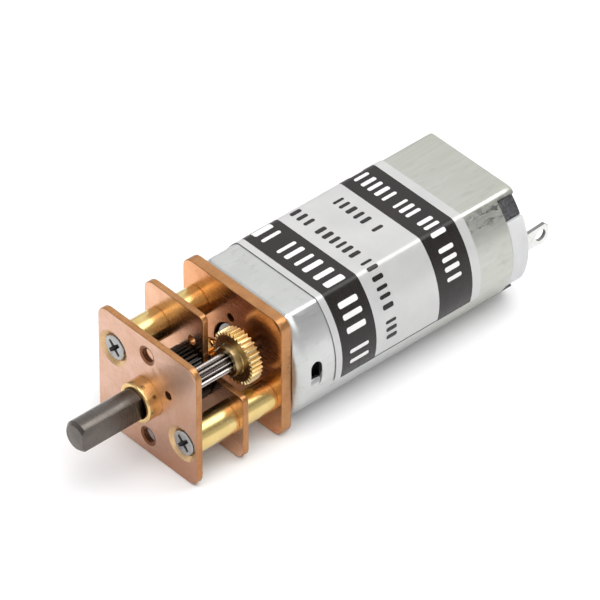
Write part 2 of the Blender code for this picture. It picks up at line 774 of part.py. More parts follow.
def build_stator(axis):
    """Bearings and the two arc magnets."""
    bore = MOTOR_SHAFT_RADIUS + FIT
    front = (BOSS_FRONT + BEARING_RECESS, BOSS_FRONT + BEARING_RECESS + BEARING_LENGTH)
    rear_end = REAR_BOSS_END - BEARING_RECESS
    rear = (rear_end - BEARING_LENGTH, rear_end)
    ring("front_bearing", bore, BEARING_RADIUS, front, axis, "bronze")
    ring("rear_bearing", bore, BEARING_RADIUS, rear, axis, "bronze")
    outer = CAN_RADIUS - CAN_WALL - GAP
    for side, middle in (("left", math.pi), ("right", 0.0)):
        first, last = middle - MAGNET_HALF_ANGLE, middle + MAGNET_HALF_ANGLE
        section = arc(outer, first, last, 10) + arc(MAGNET_INNER_RADIUS, last, first, 10)
        extruded(f"magnet_{side}", section, MAGNET, axis, "magnet")


def core_section():
    """The rotor's laminations: a hub, and T-shaped poles."""
    outline = []
    half_pole = POLE_WIDTH / 2
    hub_angle = math.asin(half_pole / CORE_HUB_RADIUS)
    neck_angle = math.asin(half_pole / SHOE_INNER_RADIUS)
    for pole in range(POLE_COUNT):
        middle = math.pi / 2 + math.tau * pole / POLE_COUNT
        next_middle = middle + math.tau / POLE_COUNT
        first, last = middle - SHOE_HALF_ANGLE, middle + SHOE_HALF_ANGLE
        outline += arc(SHOE_INNER_RADIUS, middle - neck_angle, first, 4)
        outline += arc(CORE_RADIUS, first, last, 10)
        outline += arc(SHOE_INNER_RADIUS, last, middle + neck_angle, 4)
        outline += arc(CORE_HUB_RADIUS, middle + hub_angle, next_middle - hub_angle, 4)
    return outline


def build_rotor(axis):
    """The motor shaft with its pinion, laminated core, coils, commutator and washers."""
    front, back = MOTOR_SHAFT
    step = MOTOR_PINION[1] + FIT
    thin, full = MOTOR_SHAFT_END_RADIUS, MOTOR_SHAFT_RADIUS
    profile = [
        (0.0, front),
        (thin, front),
        (thin, step),
        (full, step),
        (full, back - MOTOR_SHAFT_CHAMFER),
        (full - MOTOR_SHAFT_CHAMFER, back),
        (0.0, back),
    ]
    turned("motor_shaft", profile, axis, "pinion_steel", steps=20)
    pinion = gear_outline(PINION_TEETH, ARBOR_ANGLE)
    extruded("motor_pinion", pinion, MOTOR_PINION, axis, "brass", [circle(thin + FIT, 14)])

    bore = circle(full + FIT, 16)
    extruded("rotor_core", core_section(), CORE, axis, "lamination", [bore])
    low, high = COIL_RADII
    length = CORE[1] - CORE[0]
    for pole in range(POLE_COUNT):
        turn = math.tau * pole / POLE_COUNT
        middle = math.pi / 2 + turn
        coil_half = length / 2 + COIL_OVERHANG
        hole_half = length / 2 + GAP
        outer = rounded(box(COIL_WIDTH / 2, -coil_half, coil_half, COIL_OVERHANG))
        inner = rounded(box(POLE_WIDTH / 2 + GAP, -hole_half, hole_half))
        centre = polar((low + high) / 2, middle)
        extruded(
            f"coil_{pole + 1}",
            outer,
            (low, high),
            axis,
            "enamelled_wire",
            [inner],
            location=(centre[0], sum(CORE) / 2, centre[1]),
            rotation=(0.0, -turn, 0.0),
        )

    front, back = COMMUTATOR
    base_radius = COMMUTATOR_RADIUS - SEGMENT_THICKNESS
    ring("commutator_base", full + FIT, base_radius, (front, back), axis, "commutator_plastic")
    half_segment = math.pi / POLE_COUNT - HALF_SEGMENT_GAP
    for segment in range(POLE_COUNT):
        middle = math.pi / 6 + math.tau * segment / POLE_COUNT
        first, last = middle - half_segment, middle + half_segment
        section = arc(COMMUTATOR_RADIUS, first, last, 8) + arc(base_radius + FIT, last, first, 8)
        span = (front + SEGMENT_MARGIN, back - SEGMENT_MARGIN)
        extruded(f"commutator_segment_{segment + 1}", section, span, axis, "copper")
    for name, span in WASHERS.items():
        ring(name, full + FIT, WASHER_RADIUS, span, axis, "nylon", steps=20)


def build_label(axis):
    """A thin label over the top of the can and down both sides."""
    outer_radius = CAN_RADIUS + GAP + LABEL_THICKNESS
    lower = math.asin(LABEL_LOWER_EDGE / outer_radius)
    outline = []
    for inset in (-GAP - LABEL_THICKNESS, -GAP):
        full = can_section(inset)
        radius = CAN_RADIUS - inset
        start = polar(radius, lower)
        right = [point for point in full if point[0] > 0 and point[1] > LABEL_LOWER_EDGE]
        side = [start] + right + [(-x, z) for x, z in reversed(right)] + [(-start[0], start[1])]
        outline += side if not outline else list(reversed(side))
    extruded("label", outline, LABEL, axis, "label")


# ---------------------------------------------------------------- assembly

clear_scene()
parts = new_collection("gearmotor")
cutters = new_collection("gearmotor_cutters")
materials = {name: new_material(name) for name in MATERIALS}

motor_axis = new_axis("frame_axis")
motor_axis.scale = (MM, MM, MM)
motor_axis.location = (0.0, -LENGTH_CENTRE * MM, PLATE_SIZE / 2 * MM)
output_axis = new_axis("output_axis", parent=motor_axis)
compound_axis = new_axis("compound_axis", *polar(CENTRE_DISTANCE, ARBOR_ANGLE), parent=motor_axis)
rotor_axis = new_axis("rotor_axis", parent=motor_axis)

build_plates(motor_axis)
build_posts(motor_axis)
build_frame_screws(motor_axis)
build_locating_pin(motor_axis)
build_output(output_axis, motor_axis)
build_compound(compound_axis)
build_can(motor_axis)
build_end_bell(motor_axis)
build_terminals(motor_axis)
build_stator(motor_axis)
build_rotor(rotor_axis)
build_label(motor_axis)
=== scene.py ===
"""The looks of a small spur gearmotor: an open gearbox of copper-coloured plates on a flat-sided motor.

Pieces are drawn in millimetres from the output shaft's axis: x to the right and z up as seen from the
shaft's end, and depth back from the front plate's front face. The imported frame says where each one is.
"""

import json
import math
import random

import bmesh
import bpy
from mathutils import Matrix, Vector


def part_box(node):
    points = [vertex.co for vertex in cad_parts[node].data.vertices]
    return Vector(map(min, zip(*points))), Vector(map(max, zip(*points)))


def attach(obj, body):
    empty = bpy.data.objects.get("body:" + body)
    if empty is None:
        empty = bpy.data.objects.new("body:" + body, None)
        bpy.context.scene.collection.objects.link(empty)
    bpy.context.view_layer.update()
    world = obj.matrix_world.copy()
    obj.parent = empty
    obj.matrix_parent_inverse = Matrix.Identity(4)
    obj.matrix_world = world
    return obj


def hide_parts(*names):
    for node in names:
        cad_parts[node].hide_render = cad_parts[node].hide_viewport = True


MM = 0.001  # metres in a millimetre

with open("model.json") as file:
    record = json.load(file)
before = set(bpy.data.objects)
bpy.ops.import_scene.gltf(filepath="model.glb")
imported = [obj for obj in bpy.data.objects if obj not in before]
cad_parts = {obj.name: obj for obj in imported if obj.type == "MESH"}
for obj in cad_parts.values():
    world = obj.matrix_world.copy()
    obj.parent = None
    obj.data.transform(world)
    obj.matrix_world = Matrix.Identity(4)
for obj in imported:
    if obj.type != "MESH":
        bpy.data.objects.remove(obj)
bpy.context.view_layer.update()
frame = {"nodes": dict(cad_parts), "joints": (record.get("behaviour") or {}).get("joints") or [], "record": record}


# ---- places, read from the frame

AXIS_X, _, AXIS_Z = next(joint["pos_m"] for joint in frame["joints"] if joint["name"] == "output_shaft_spin")
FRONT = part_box("front_plate")[0].y
SLOTS = {subpart["node"]: subpart["material_slot"] for subpart in frame["record"]["subparts"]}
BODIES = {node: body for body, nodes in frame["record"]["behaviour"]["bodies"].items() for node in nodes}


def span(node):
    """The front and back depth of a CAD node."""
    low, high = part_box(node)
    return (low.y - FRONT) / MM, (high.y - FRONT) / MM


def middle(node):
    """The x and z of a CAD node's middle."""
    low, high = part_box(node)
    return ((low.x + high.x) / 2 - AXIS_X) / MM, ((low.z + high.z) / 2 - AXIS_Z) / MM


def half_sizes(node):
    """Half of a CAD node's width and height."""
    low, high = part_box(node)
    return (high.x - low.x) / 2 / MM, (high.z - low.z) / 2 / MM


# ---- driving dimensions, in millimetres

FIT = 0.03
AXIS = (0.0, 0.0)

PLATE_HALF = half_sizes("front_plate")[0]
PLATE_CORNER = 1.2
PLATE_RIM = 0.09  # how far the stamped edges of the plates are rounded
NOTCH_CORNER = (1.25, 0.6)
MOUNT_SPACING = 9.2
TAPPED_MINOR = 0.70
TAPPED_MAJOR = 0.99
TAPPED_TURNS = 3
COUNTERSINK_RADIUS = 1.65
COUNTERSINK_DEPTH = 0.6
SINK_LIP = 0.14

POST_PLACES = {"left": middle("front_spacer_left"), "right": middle("front_spacer_right")}
POST_RADIUS = half_sizes("front_spacer_left")[0]
POSTS = {  # each post's plate ahead, plate behind and the depth of its tapped hole
    "front_spacer": ("front_plate", "middle_plate", 2.7),
    "rear_spacer": ("middle_plate", "rear_plate", 1.4),
}
THREAD_RADIUS = 0.8
SCREW_HEAD_RADIUS = half_sizes("frame_screw_left")[0]
SCREW_HEAD_EDGE = ((0.20, 0.0), (0.11, 0.03), (0.06, 0.1), (0.08, 0.14))  # inset and depth
SCREW_RECESS = ((0.22, 0.86, 0.0), (0.19, 0.80, 0.05), (0.11, 0.45, 0.55))  # arm, reach and depth
SCREW_TURNS = 8

BUSH_RADIUS = half_sizes("output_bush")[0]
SHAFT_RADIUS = half_sizes("output_shaft")[0]
SHAFT_BORE = SHAFT_RADIUS + FIT
SHAFT_CHAMFER = 0.3
JOURNAL_RADIUS = 1.0
CENTRE_MARK = 0.3
FLAT_FROM_AXIS = 0.95
FLAT_END = 0.2
FLAT_RUN_OUT = 0.25
CUT_REACH = (2.2, 4.0)  # the flat's cutter: half its height, and how far out it goes

MODULE = 0.15
PINION_TEETH = 10
GEAR_TEETH = 33
CENTRE_DISTANCE = MODULE * (PINION_TEETH + GEAR_TEETH) / 2
PRESSURE_ANGLE = math.radians(20)
BACKLASH = 0.03
GEAR_RIM = 0.02
ARBOR_ANGLE = math.radians(33)
ARBOR_RADIUS = 0.4
ARBOR_RECESS = 0.3
ARBOR_PLACE = (CENTRE_DISTANCE * math.cos(ARBOR_ANGLE), CENTRE_DISTANCE * math.sin(ARBOR_ANGLE))
SPARE_PIVOT_ANGLE = math.radians(94)
OUTPUT_GEAR_FRONT = 3.1
OUTPUT_HUB_RADIUS = 2.1
COMPOUND_GEAR_FRONT = 7.5
COMPOUND_HUB_RADIUS = 1.45
LONG_PINION = (1.0, 8.95)

CAN_RADIUS, CAN_HALF_HEIGHT = half_sizes("motor_can")
BOSS_FRONT, CAN_BACK = span("motor_can")
CAN_EDGE = 0.8
CAN_WALL = 0.5
CAN_FRONT = 11.0
CAN_FRONT_ROUNDING = 1.15
BOSS_RADIUS = 2.22
BOSS_HOLE_RADIUS = 2.4
RIM_FRONT = CAN_BACK - 2.0
RIM_HALF_HEIGHT = 3.64
CUTOUT_HALF_HEIGHT = 3.7
DENT_HALF_HEIGHT = 5.3
DENT_DEPTH = 0.4
SLOT = (12.2, 13.5)
SLOT_MIDDLE = sum(SLOT) / 2
SLOT_HALF_WIDTH = (SLOT[1] - SLOT[0]) / 2
SLOT_HALF_HEIGHT = 1.4
SLOT_ROUNDING = (1.4, 1.27, 1.05, 0.75)  # heights of the can's edges in the slot's round ends
TAB_HEIGHTS = (-1.38, -0.75)
TAB_THICKNESS = 0.3
TAB_BEND = 0.4
TAB_STEPS = 8
CRIMP_HALF_WIDTH = 1.0
CRIMP_OFFSET = 2.9
CRIMP = (37.8, 38.2)

BEARING_RADIUS = half_sizes("rear_bearing")[0]
BEARING_SEAT = BEARING_RADIUS + FIT
MOTOR_SHAFT_RADIUS = 0.5
MOTOR_SHAFT_END_RADIUS = 0.4
BELL_PLATE = (36.33, 37.7)
BELL_GAP = 0.05
BELL_DISH = (5.9, 7.0)  # half of its width and height
REAR_BOSS_RADIUS = 2.4
TERMINAL_X = 6.65
TERMINAL_THICKNESS = 0.35
TERMINAL_HALF_WIDTH = half_sizes("terminal_right")[1]
TERMINAL_CHAMFER = 0.45
TERMINAL_FLARE = 0.17
TERMINAL_RIM = 0.035
TERMINAL_HOLE = (40.55, 0.58)  # depth and radius

LABEL_GAP = 0.05
LABEL_TOP = LABEL_GAP + 0.06
LABEL_LOWER_EDGE = -2.1
FIRST_BAND = (15.75, 19.8)
SECOND_BAND = (27.3, 31.3)
INK_TOP = LABEL_TOP + 0.012
INK_BOTTOM = LABEL_TOP - 0.01
INK_ROUNDING = 0.18

DARK_GAP = (128.0, 33.0)  # the way to the tent's dark gap, as an azimuth and an elevation
DARK_GAP_RADII = (2.0, 10.0)  # degrees across which the gap fades out


# ---- outlines


def arc(radius, first, last, steps, centre=AXIS):
    """Points along an arc, both ends included."""
    angles = [first + (last - first) * step / steps for step in range(steps + 1)]
    return [(centre[0] + radius * math.cos(a), centre[1] + radius * math.sin(a)) for a in angles]


def circle(radius, steps=48, centre=AXIS):
    """A closed ring of points."""
    return arc(radius, 0.0, math.tau, steps, centre)[:-1]


def polar(radius, angle):
    """The point at a radius and an angle."""
    return (radius * math.cos(angle), radius * math.sin(angle))


def mirrored(points):
    """An outline's right half, with its left half added by a turn of 180 degrees."""
    return points + [(-x, -z) for x, z in points]


def rounded(corners, steps=6):
    """An outline through corners (x, z, radius), each rounded by an arc of its radius."""
    outline = []
    for index, (x, z, radius) in enumerate(corners):
        here = Vector((x, z))
        if radius == 0.0:
            outline.append((x, z))
            continue
        to_last = (Vector(corners[index - 1][:2]) - here).normalized()
        to_next = (Vector(corners[(index + 1) % len(corners)][:2]) - here).normalized()
        half_angle = to_last.angle(to_next) / 2
        tangent = radius / math.tan(half_angle)
        centre = here + (to_last + to_next).normalized() * radius / math.sin(half_angle)
        start = here + to_last * tangent - centre
        end = here + to_next * tangent - centre
        first = math.atan2(start.y, start.x)
        sweep = (math.atan2(end.y, end.x) - first + math.pi) % math.tau - math.pi
        outline += arc(radius, first, first + sweep, steps, centre)
    return outline


def rectangle(half_width, low, high, corner=0.0):
    """A rectangle's corners, across x."""
    places = ((-half_width, low), (half_width, low), (half_width, high), (-half_width, high))
    return [(x, z, corner) for x, z in places]


def square_plate(inset):
    """The front and rear plate's outline, drawn in by an inset."""
    half = PLATE_HALF - inset
    return rounded(rectangle(half, -half, half, PLATE_CORNER - inset), 10)


def notched_plate(inset):
    """The middle plate's outline, with its upper right corner cut away."""
    half = PLATE_HALF - inset
    x, z = NOTCH_CORNER[0] - inset, NOTCH_CORNER[1] - inset
    full, small, inner = PLATE_CORNER - inset, PLATE_CORNER / 2 - inset, PLATE_CORNER / 4 + inset
    corners = [(-half, -half, full), (half, -half, full), (half, z, small), (x, z, inner)]
    return rounded([*corners, (x, half, small), (-half, half, full)], 10)


def gear_outline(teeth, phase, inset=0.0):
    """A spur gear with involute flanks and rounded roots; phase is the angle of one tooth's middle."""
    pitch = MODULE * teeth / 2
    base = pitch * math.cos(PRESSURE_ANGLE)
    root = pitch - 1.25 * MODULE - inset
    tip = pitch + MODULE - inset
    crest = 0.08 * MODULE
    half_tooth = math.pi / (2 * teeth) - BACKLASH / (2 * pitch) - inset / pitch
    involute_at_pitch = math.tan(PRESSURE_ANGLE) - PRESSURE_ANGLE

    def half_angle(radius):
        """Half of the angle that a tooth fills at a radius."""
        pressure = math.acos(min(base / radius, 1.0))
        return half_tooth + involute_at_pitch - math.tan(pressure) + pressure

    foot = root + 0.2 * MODULE
    wide = half_angle(foot)
    flank = [(root, wide + 0.22 * MODULE / root), (root + 0.05 * MODULE, wide + crest / root)]
    for step in range(5):
        radius = foot + (tip - crest - foot) * step / 4
        flank.append((radius, half_angle(radius)))
    flank.append((tip, half_angle(tip) - crest / tip))
    outline = []
    for tooth in range(teeth):
        centre = phase + math.tau * tooth / teeth
        outline += [polar(radius, centre - angle) for radius, angle in flank]
        outline += [polar(radius, centre + angle) for radius, angle in reversed(flank)]
    return outline


def can_angles():
    """The side arc's angles, with one on each edge of the side openings."""
    radius, half_height = CAN_RADIUS - CAN_EDGE, CAN_HALF_HEIGHT - CAN_EDGE
    top = math.atan2(half_height, math.sqrt(radius**2 - half_height**2))
    heights = (DENT_HALF_HEIGHT + 0.12, DENT_HALF_HEIGHT, CUTOUT_HALF_HEIGHT, *SLOT_ROUNDING)
    stops = [-top, *(-math.asin(height / CAN_RADIUS) for height in heights)]
    stops += [-stop for stop in reversed(stops)]
    angles = []
    for first, last in zip(stops, stops[1:]):
        steps = max(1, round((last - first) / math.radians(3.5)))
        angles += [first + (last - first) * step / steps for step in range(steps)]
    return angles + [stops[-1]]


def can_section(inset=0.0, flat_steps=8):
    """The can's section: two side arcs, a flat top and bottom, and rounded edges between."""
    radius = CAN_RADIUS - inset
    half_height = CAN_HALF_HEIGHT - inset
    edge = max(CAN_EDGE - inset, 0.15)
    edge_x = math.sqrt((radius - edge) ** 2 - (half_height - edge) ** 2)
    angle = math.atan2(half_height - edge, edge_x)
    angles = can_angles()
    right = arc(edge, -math.pi / 2, -angle, 6, (edge_x, edge - half_height))[:-1]
    right += [polar(radius, a * angle / angles[-1]) for a in angles]
    right += arc(edge, angle, math.pi / 2, 6, (edge_x, half_height - edge))[1:]
    right += [(edge_x * (1 - 2 * step / flat_steps), half_height) for step in range(1, flat_steps)]
    return mirrored(right)


def rim_stack(outline_at, depths, rim, steps=3):
    """An edge all round a plate, rounded at its front and back: (outline, depth) from front to back."""
    front, back = depths
    stack = []
    for step in range(steps + 1):
        turn = math.pi / 2 * step / steps
        stack.append((outline_at(rim * (1 - math.sin(turn))), front + rim * (1 - math.cos(turn))))
    return stack + [(outline, front + back - depth) for outline, depth in reversed(stack)]


def bore_stack(profile, centre=AXIS, steps=48):
    """A round hole or a round boss, from its (radius, depth) profile."""
    return [(circle(radius, steps, centre), depth) for radius, depth in profile]


def hole(radius, depths, centre=AXIS, rim=0.05, steps=40):
    """A plain hole through a plate, with its edges broken."""
    front, back = depths
    profile = [(radius + rim, front), (radius, front + rim), (radius, back - rim), (radius + rim, back)]
    return bore_stack(profile, centre, steps)


# ---- meshes


def new_object(name, data):
    """An object in the scene."""
    thing = bpy.data.objects.new(name, data)
    bpy.context.scene.collection.objects.link(thing)
    return thing


def new_mesh(name, work):
    """A mesh from a bmesh, which is used up."""
    mesh = bpy.data.meshes.new(name)
    work.to_mesh(mesh)
    work.free()
    return mesh


def modify(piece, kind, **settings):
    """Adds a modifier with its settings."""
    modifier = piece.modifiers.new(kind.lower(), kind)
    for key, value in settings.items():
        setattr(modifier, key, value)


def smooth(piece, sharp=32.0, weight=80):
    """Smooth shading with sharp edges past an angle, and flat faces kept flat where a weight is given."""
    piece.data.shade_smooth()
    piece.data.set_sharp_from_angle(angle=math.radians(sharp))
    if weight:
        modify(piece, "WEIGHTED_NORMAL", keep_sharp=True, weight=weight)


class Sketch:
    """A mesh in millimetres about a piece's own axis: rings of points, joined by walls and closed by caps."""

    def __init__(self):
        self.mesh = bmesh.new()

    def points(self, places):
        """Vertices at places in space."""
        return [self.mesh.verts.new(place) for place in places]

    def rings(self, stack):
        """A ring of vertices for each outline in x and z, at its depth."""
        return [self.points([(x, depth, z) for x, z in outline]) for outline, depth in stack]

    def wall(self, rings, material=0, skip=None, looped=False):
        """Faces between each ring and the next; skip(row, column) leaves one out."""
        following = [*rings[1:], rings[0]] if looped else rings[1:]
        for row, (near, far) in enumerate(zip(rings, following)):
            for column in range(len(near)):
                if skip and skip(row, column):
                    continue
                after = (column + 1) % len(near)
                face = self.mesh.faces.new((near[column], near[after], far[after], far[column]))
                face.material_index = material

    def cap(self, rings, material=0):
        """A flat face inside the first ring, with the other rings as holes."""
        if len(rings) == 1:
            self.mesh.faces.new(rings[0]).material_index = material
            return
        edges = []
        for ring in rings:
            for pair in zip(ring, [*ring[1:], ring[0]]):
                edges.append(self.mesh.edges.get(pair) or self.mesh.edges.new(pair))
        filled = bmesh.ops.triangle_fill(self.mesh, use_beauty=True, use_dissolve=False, edges=edges)
        for item in filled["geom"]:
            if isinstance(item, bmesh.types.BMFace):
                item.material_index = material

    def bar(self, rings):
        """A closed body through rings of vertices."""
        self.wall(rings)
        self.cap([rings[0]])
        self.cap([rings[-1]])
        return self

    def solid(self, outside, through=(), front=(), back=(), wall=0, back_cap=0, blind=0):
        """A closed body inside an outer stack.

        It has holes through it, each a stack and its wall's material, and blind holes or bosses at either
        end; blind is the material of their walls and floors.
        """
        outer = self.rings(outside)
        self.wall(outer, wall)
        near, far = [outer[0]], [outer[-1]]
        for stack, material in through:
            bore = self.rings(stack)
            self.wall(bore, material)
            near.append(bore[0])
            far.append(bore[-1])
        for end, stacks in ((near, front), (far, back)):
            for bore in map(self.rings, stacks):
                self.wall(bore, blind)
                self.cap([bore[-1]], blind)
                end.append(bore[0])
        self.cap(near)
        self.cap(far, back_cap)
        return self

    def to_metres(self, name):
        """The sketch as a mesh in metres, with its faces turned outwards."""
        bmesh.ops.recalc_face_normals(self.mesh, faces=self.mesh.faces)
        self.mesh.normal_update()
        top = max(self.mesh.faces, key=lambda face: face.calc_center_median().z)
        if top.normal.z < -0.5:  # an open skin can come out inside out
            bmesh.ops.reverse_faces(self.mesh, faces=self.mesh.faces)
        bmesh.ops.scale(self.mesh, vec=(MM, MM, MM), verts=self.mesh.verts)
        return new_mesh(name, self.mesh)

    def finish(self, name, node, materials, centre=AXIS, added=False, sharp=32.0, weight=80):
        """The piece, about centre: it rides on its node's body, and replaces the node unless it is added."""
        piece = new_object(name, self.to_metres(name))
        piece.location = (AXIS_X + centre[0] * MM, FRONT, AXIS_Z + centre[1] * MM)
        for material in materials:
            piece.data.materials.append(material)
        smooth(piece, sharp, weight)
        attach(piece, BODIES[node])
        if not added:
            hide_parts(node)
        return piece


def turned(name, node, corners, material, centre=AXIS, tube=False, steps=64, added=False):
    """A profile of (radius, depth, rounding) turned round its axis; a tube's profile is a closed loop."""
    sketch = Sketch()
    rings = sketch.rings(bore_stack(rounded(corners, 3), steps=steps))
    if tube:
        sketch.wall(rings, looped=True)
    else:
        sketch.bar(rings)
    return sketch.finish(name, node, [material], centre, added)


def gear(name, node, teeth, phase, depths, material, hub=None, centre=AXIS, **ends):
    """A spur gear of one material; hub is the stack of its bore, with any boss round it."""
    outside = rim_stack(lambda inset: gear_outline(teeth, phase, inset), depths, GEAR_RIM, 1)
    sketch = Sketch().solid(outside, [(hub, 0)] if hub else (), **ends)
    sketch.finish(name, node, [material], centre, sharp=28)


def carve(piece, sketch):
    """Cuts a sketched body out of a finished piece, for good."""
    tool = new_object("cutter", sketch.to_metres("cutter"))
    tool.location = (AXIS_X, FRONT, AXIS_Z)
    bpy.context.view_layer.update()
    piece.modifiers.clear()
    modify(piece, "BOOLEAN", solver="EXACT", object=tool)
    whole, used = piece.data, tool.data
    piece.data = bpy.data.meshes.new_from_object(piece.evaluated_get(bpy.context.evaluated_depsgraph_get()))
    piece.data.name = whole.name + "_cut"
    piece.modifiers.clear()
    bpy.data.objects.remove(tool)
    for mesh in (whole, used):
        bpy.data.meshes.remove(mesh)
    smooth(piece)


# ---- material building


class Nodes:
    """A node tree; every call adds one node and returns its output."""

    def __init__(self, tree, coordinates="Object"):
        self.tree = tree
        self.place = self.add("ShaderNodeTexCoord").outputs[coordinates]

    def put(self, socket, value):
        """Links a socket, or sets its number or colour."""
        if isinstance(value, bpy.types.NodeSocket):
            self.tree.links.new(value, socket)
        elif socket.type == "RGBA":
            socket.default_value = (*value, 1.0)
        else:
            socket.default_value = value

    def add(self, kind, inputs=(), **settings):
        """A node with its settings, and its inputs by name or number."""
        node = self.tree.nodes.new(kind)
        for key, value in settings.items():
            setattr(node, key, value)
        for key, value in dict(inputs).items():
            self.put(node.inputs[key], value)
        return node

    def stretch(self, x, y, z):
        """The place on the piece, in repeats per millimetre along each axis."""
        inputs = {"Vector": self.place, "Scale": (x / MM, y / MM, z / MM)}
        return self.add("ShaderNodeMapping", inputs).outputs["Vector"]

    def noise(self, repeats, detail=4.0, roughness=0.55, distortion=0.0):
        """Noise with a number of repeats per millimetre, or one for each axis."""
        vector = self.stretch(*(repeats if isinstance(repeats, tuple) else [repeats] * 3))
        inputs = {"Vector": vector, "Scale": 1.0, "Detail": detail}
        inputs |= {"Roughness": roughness, "Distortion": distortion}
        return self.add("ShaderNodeTexNoise", inputs).outputs["Fac"]

    def along(self, axis, vector=None):
        """One coordinate on the piece, in millimetres, or one part of another vector."""
        inputs = {"Vector": vector or self.stretch(1, 1, 1)}
        return self.add("ShaderNodeSeparateXYZ", inputs).outputs[axis]

    def radius(self):
        """The distance from the piece's own axis, in millimetres."""
        inputs = {"Vector": self.stretch(1, 0, 1)}
        return self.add("ShaderNodeVectorMath", inputs, operation="LENGTH").outputs["Value"]

    def lathe(self, rings_per_mm):
        """Rings round the axis, on the cylindrical faces and on the end faces alike."""
        inputs = {"W": self.plus(self.radius(), self.along("Y")), "Scale": rings_per_mm, "Detail": 3.0}
        return self.add("ShaderNodeTexNoise", inputs, noise_dimensions="1D").outputs["Fac"]

    def maths(self, operation, *values):
        return self.add("ShaderNodeMath", dict(enumerate(values)), operation=operation).outputs["Value"]

    def plus(self, first, second):
        return self.maths("ADD", first, second)

    def times(self, first, second):
        return self.maths("MULTIPLY", first, second)

    def range(self, value, low, high, to_low=0.0, to_high=1.0, **settings):
        """Maps low..high to to_low..to_high, held at the ends."""
        inputs = {"Value": value, "From Min": low, "From Max": high, "To Min": to_low, "To Max": to_high}
        return self.add("ShaderNodeMapRange", inputs, clamp=True, **settings).outputs["Result"]

    def blend(self, factor, first, second):
        """One colour, or another where the factor is 1."""
        node = self.add("ShaderNodeMix", {"Factor": factor}, data_type="RGBA")
        colours = [socket for socket in node.inputs if socket.type == "RGBA"]
        for socket, colour in zip(colours, (first, second)):
            self.put(socket, colour)
        return next(socket for socket in node.outputs if socket.type == "RGBA")

    def fade(self, value, low, high, first, second, share=1.0):
        """One colour, which turns into a share of another as a value goes from low to high."""
        return self.blend(self.range(value, low, high, 0.0, share), first, second)


class Shading(Nodes):
    """A material whose shader's sockets are set by their names."""

    def __init__(self, name):
        self.material = bpy.data.materials.new(name)
        self.material.use_nodes = True
        super().__init__(self.material.node_tree)
        self.shader = self.tree.nodes["Principled BSDF"]

    def set(self, **inputs):
        """Sets the shader's own sockets; base_color stands for Base Color."""
        for key, value in inputs.items():
            self.put(self.shader.inputs[key.replace("_", " ").title().replace("Ior", "IOR")], value)

    def relief(self, height, depth_mm, strength):
        """Bumps the surface, and hands over the finished material."""
        inputs = {"Height": height, "Distance": depth_mm * MM, "Strength": strength}
        self.set(normal=self.add("ShaderNodeBump", inputs).outputs["Normal"])
        return self.material


# ---- materials


def copper_plate_material(name, light, deep, mark, rough=(0.18, 0.26), lower_right_shade=0.0):
    """Satin copper-coloured sheet: blotches, rolling marks and scratches, and painted shade darkening its lower
    right.
    """
    s = Shading(name)
    blotches = s.noise(0.35, 5.0, distortion=0.4)
    rolling = s.noise((0.4, 6, 11), 3.0)
    scratches = s.range(s.noise((1.2, 9, 30), 2.0), 0.62, 0.75)
    colour = s.fade(blotches, 0.35, 0.68, light, deep)
    colour = s.fade(s.noise(2.2, 5.0), 0.45, 0.75, colour, mark, 0.20)
    colour = s.blend(s.times(scratches, 0.25), colour, (0.66, 0.46, 0.36))
    # Painted shade: the face darkens towards its lower right, standing in for the shadowed floor that it mirrors
    # there.
    if lower_right_shade:
        across = s.maths("SUBTRACT", s.along("X"), s.along("Z"))
        colour = s.fade(across, 2.0, 8.5, colour, mark, lower_right_shade)
    roughness = s.plus(s.range(rolling, 0.3, 0.7, *rough), s.range(blotches, 0.4, 0.7, 0.0, 0.06))
    s.set(base_color=colour, roughness=roughness, metallic=1.0)
    return s.relief(s.plus(rolling, s.times(scratches, -0.6)), 0.0009, 0.5)


def copper_edge_material():
    """The plates' stamped edges: more orange, with shear marks across the thickness."""
    s = Shading("copper_plate_edge")
    shear = s.noise((7, 0.7, 7))
    colour = s.fade(s.noise((0.5, 0.8, 0.5), 3.0), 0.35, 0.7, (0.47, 0.235, 0.10), (0.37, 0.165, 0.065))
    colour = s.fade(shear, 0.55, 0.78, colour, (0.58, 0.33, 0.13), 0.5)
    s.set(base_color=colour, roughness=s.range(shear, 0.3, 0.7, 0.24, 0.40), metallic=1.0)
    return s.relief(shear, 0.008, 0.7)


def brass_material(name, light, deep, rough, rings=10, roots=None):
    """Turned brass: lathe rings, a slow change of tone, dull spots, and painted shade between a gear's teeth."""
    s = Shading(name)
    lathe = s.lathe(rings)
    spots = s.range(s.noise(2.5, 6.0), 0.6, 0.75)
    colour = s.fade(s.noise(0.6, 3.0), 0.3, 0.7, light, deep)
    colour = s.blend(s.times(spots, 0.12), colour, (0.36, 0.23, 0.09))
    # Painted shade: darker towards the roots of the teeth.
    if roots:
        colour = s.blend(s.range(s.radius(), *roots, 0.6, 0.0), colour, (0.16, 0.085, 0.03))
    roughness = s.plus(s.range(lathe, 0.3, 0.7, *rough), s.times(spots, 0.05))
    s.set(base_color=colour, roughness=roughness, metallic=1.0)
    return s.relief(lathe, 0.0005, 0.4)


def steel_material(name, light, deep, rough, rings=8, depth=0.0015, stain=(0.2, 0.165, 0.13), roots=None):
    """Ground or turned metal: rings from the tool, faint stains, and painted shade between a gear's teeth."""
    s = Shading(name)
    lathe = s.lathe(rings)
    stains = s.range(s.noise((0.9, 0.6, 0.9), 6.0), 0.55, 0.75)
    colour = s.fade(s.noise((0.8, 0.25, 0.8), 5.0), 0.3, 0.7, light, deep)
    colour = s.blend(s.times(stains, 0.2), colour, stain)
    # Painted shade: darker towards the roots of the teeth.
    if roots:
        colour = s.blend(s.range(s.radius(), *roots, 0.85, 0.0), colour, (0.05, 0.04, 0.035))
    roughness = s.plus(s.range(lathe, 0.3, 0.7, *rough), s.times(stains, 0.08))
    s.set(base_color=colour, roughness=roughness, metallic=1.0)
    return s.relief(lathe, depth, 0.6)


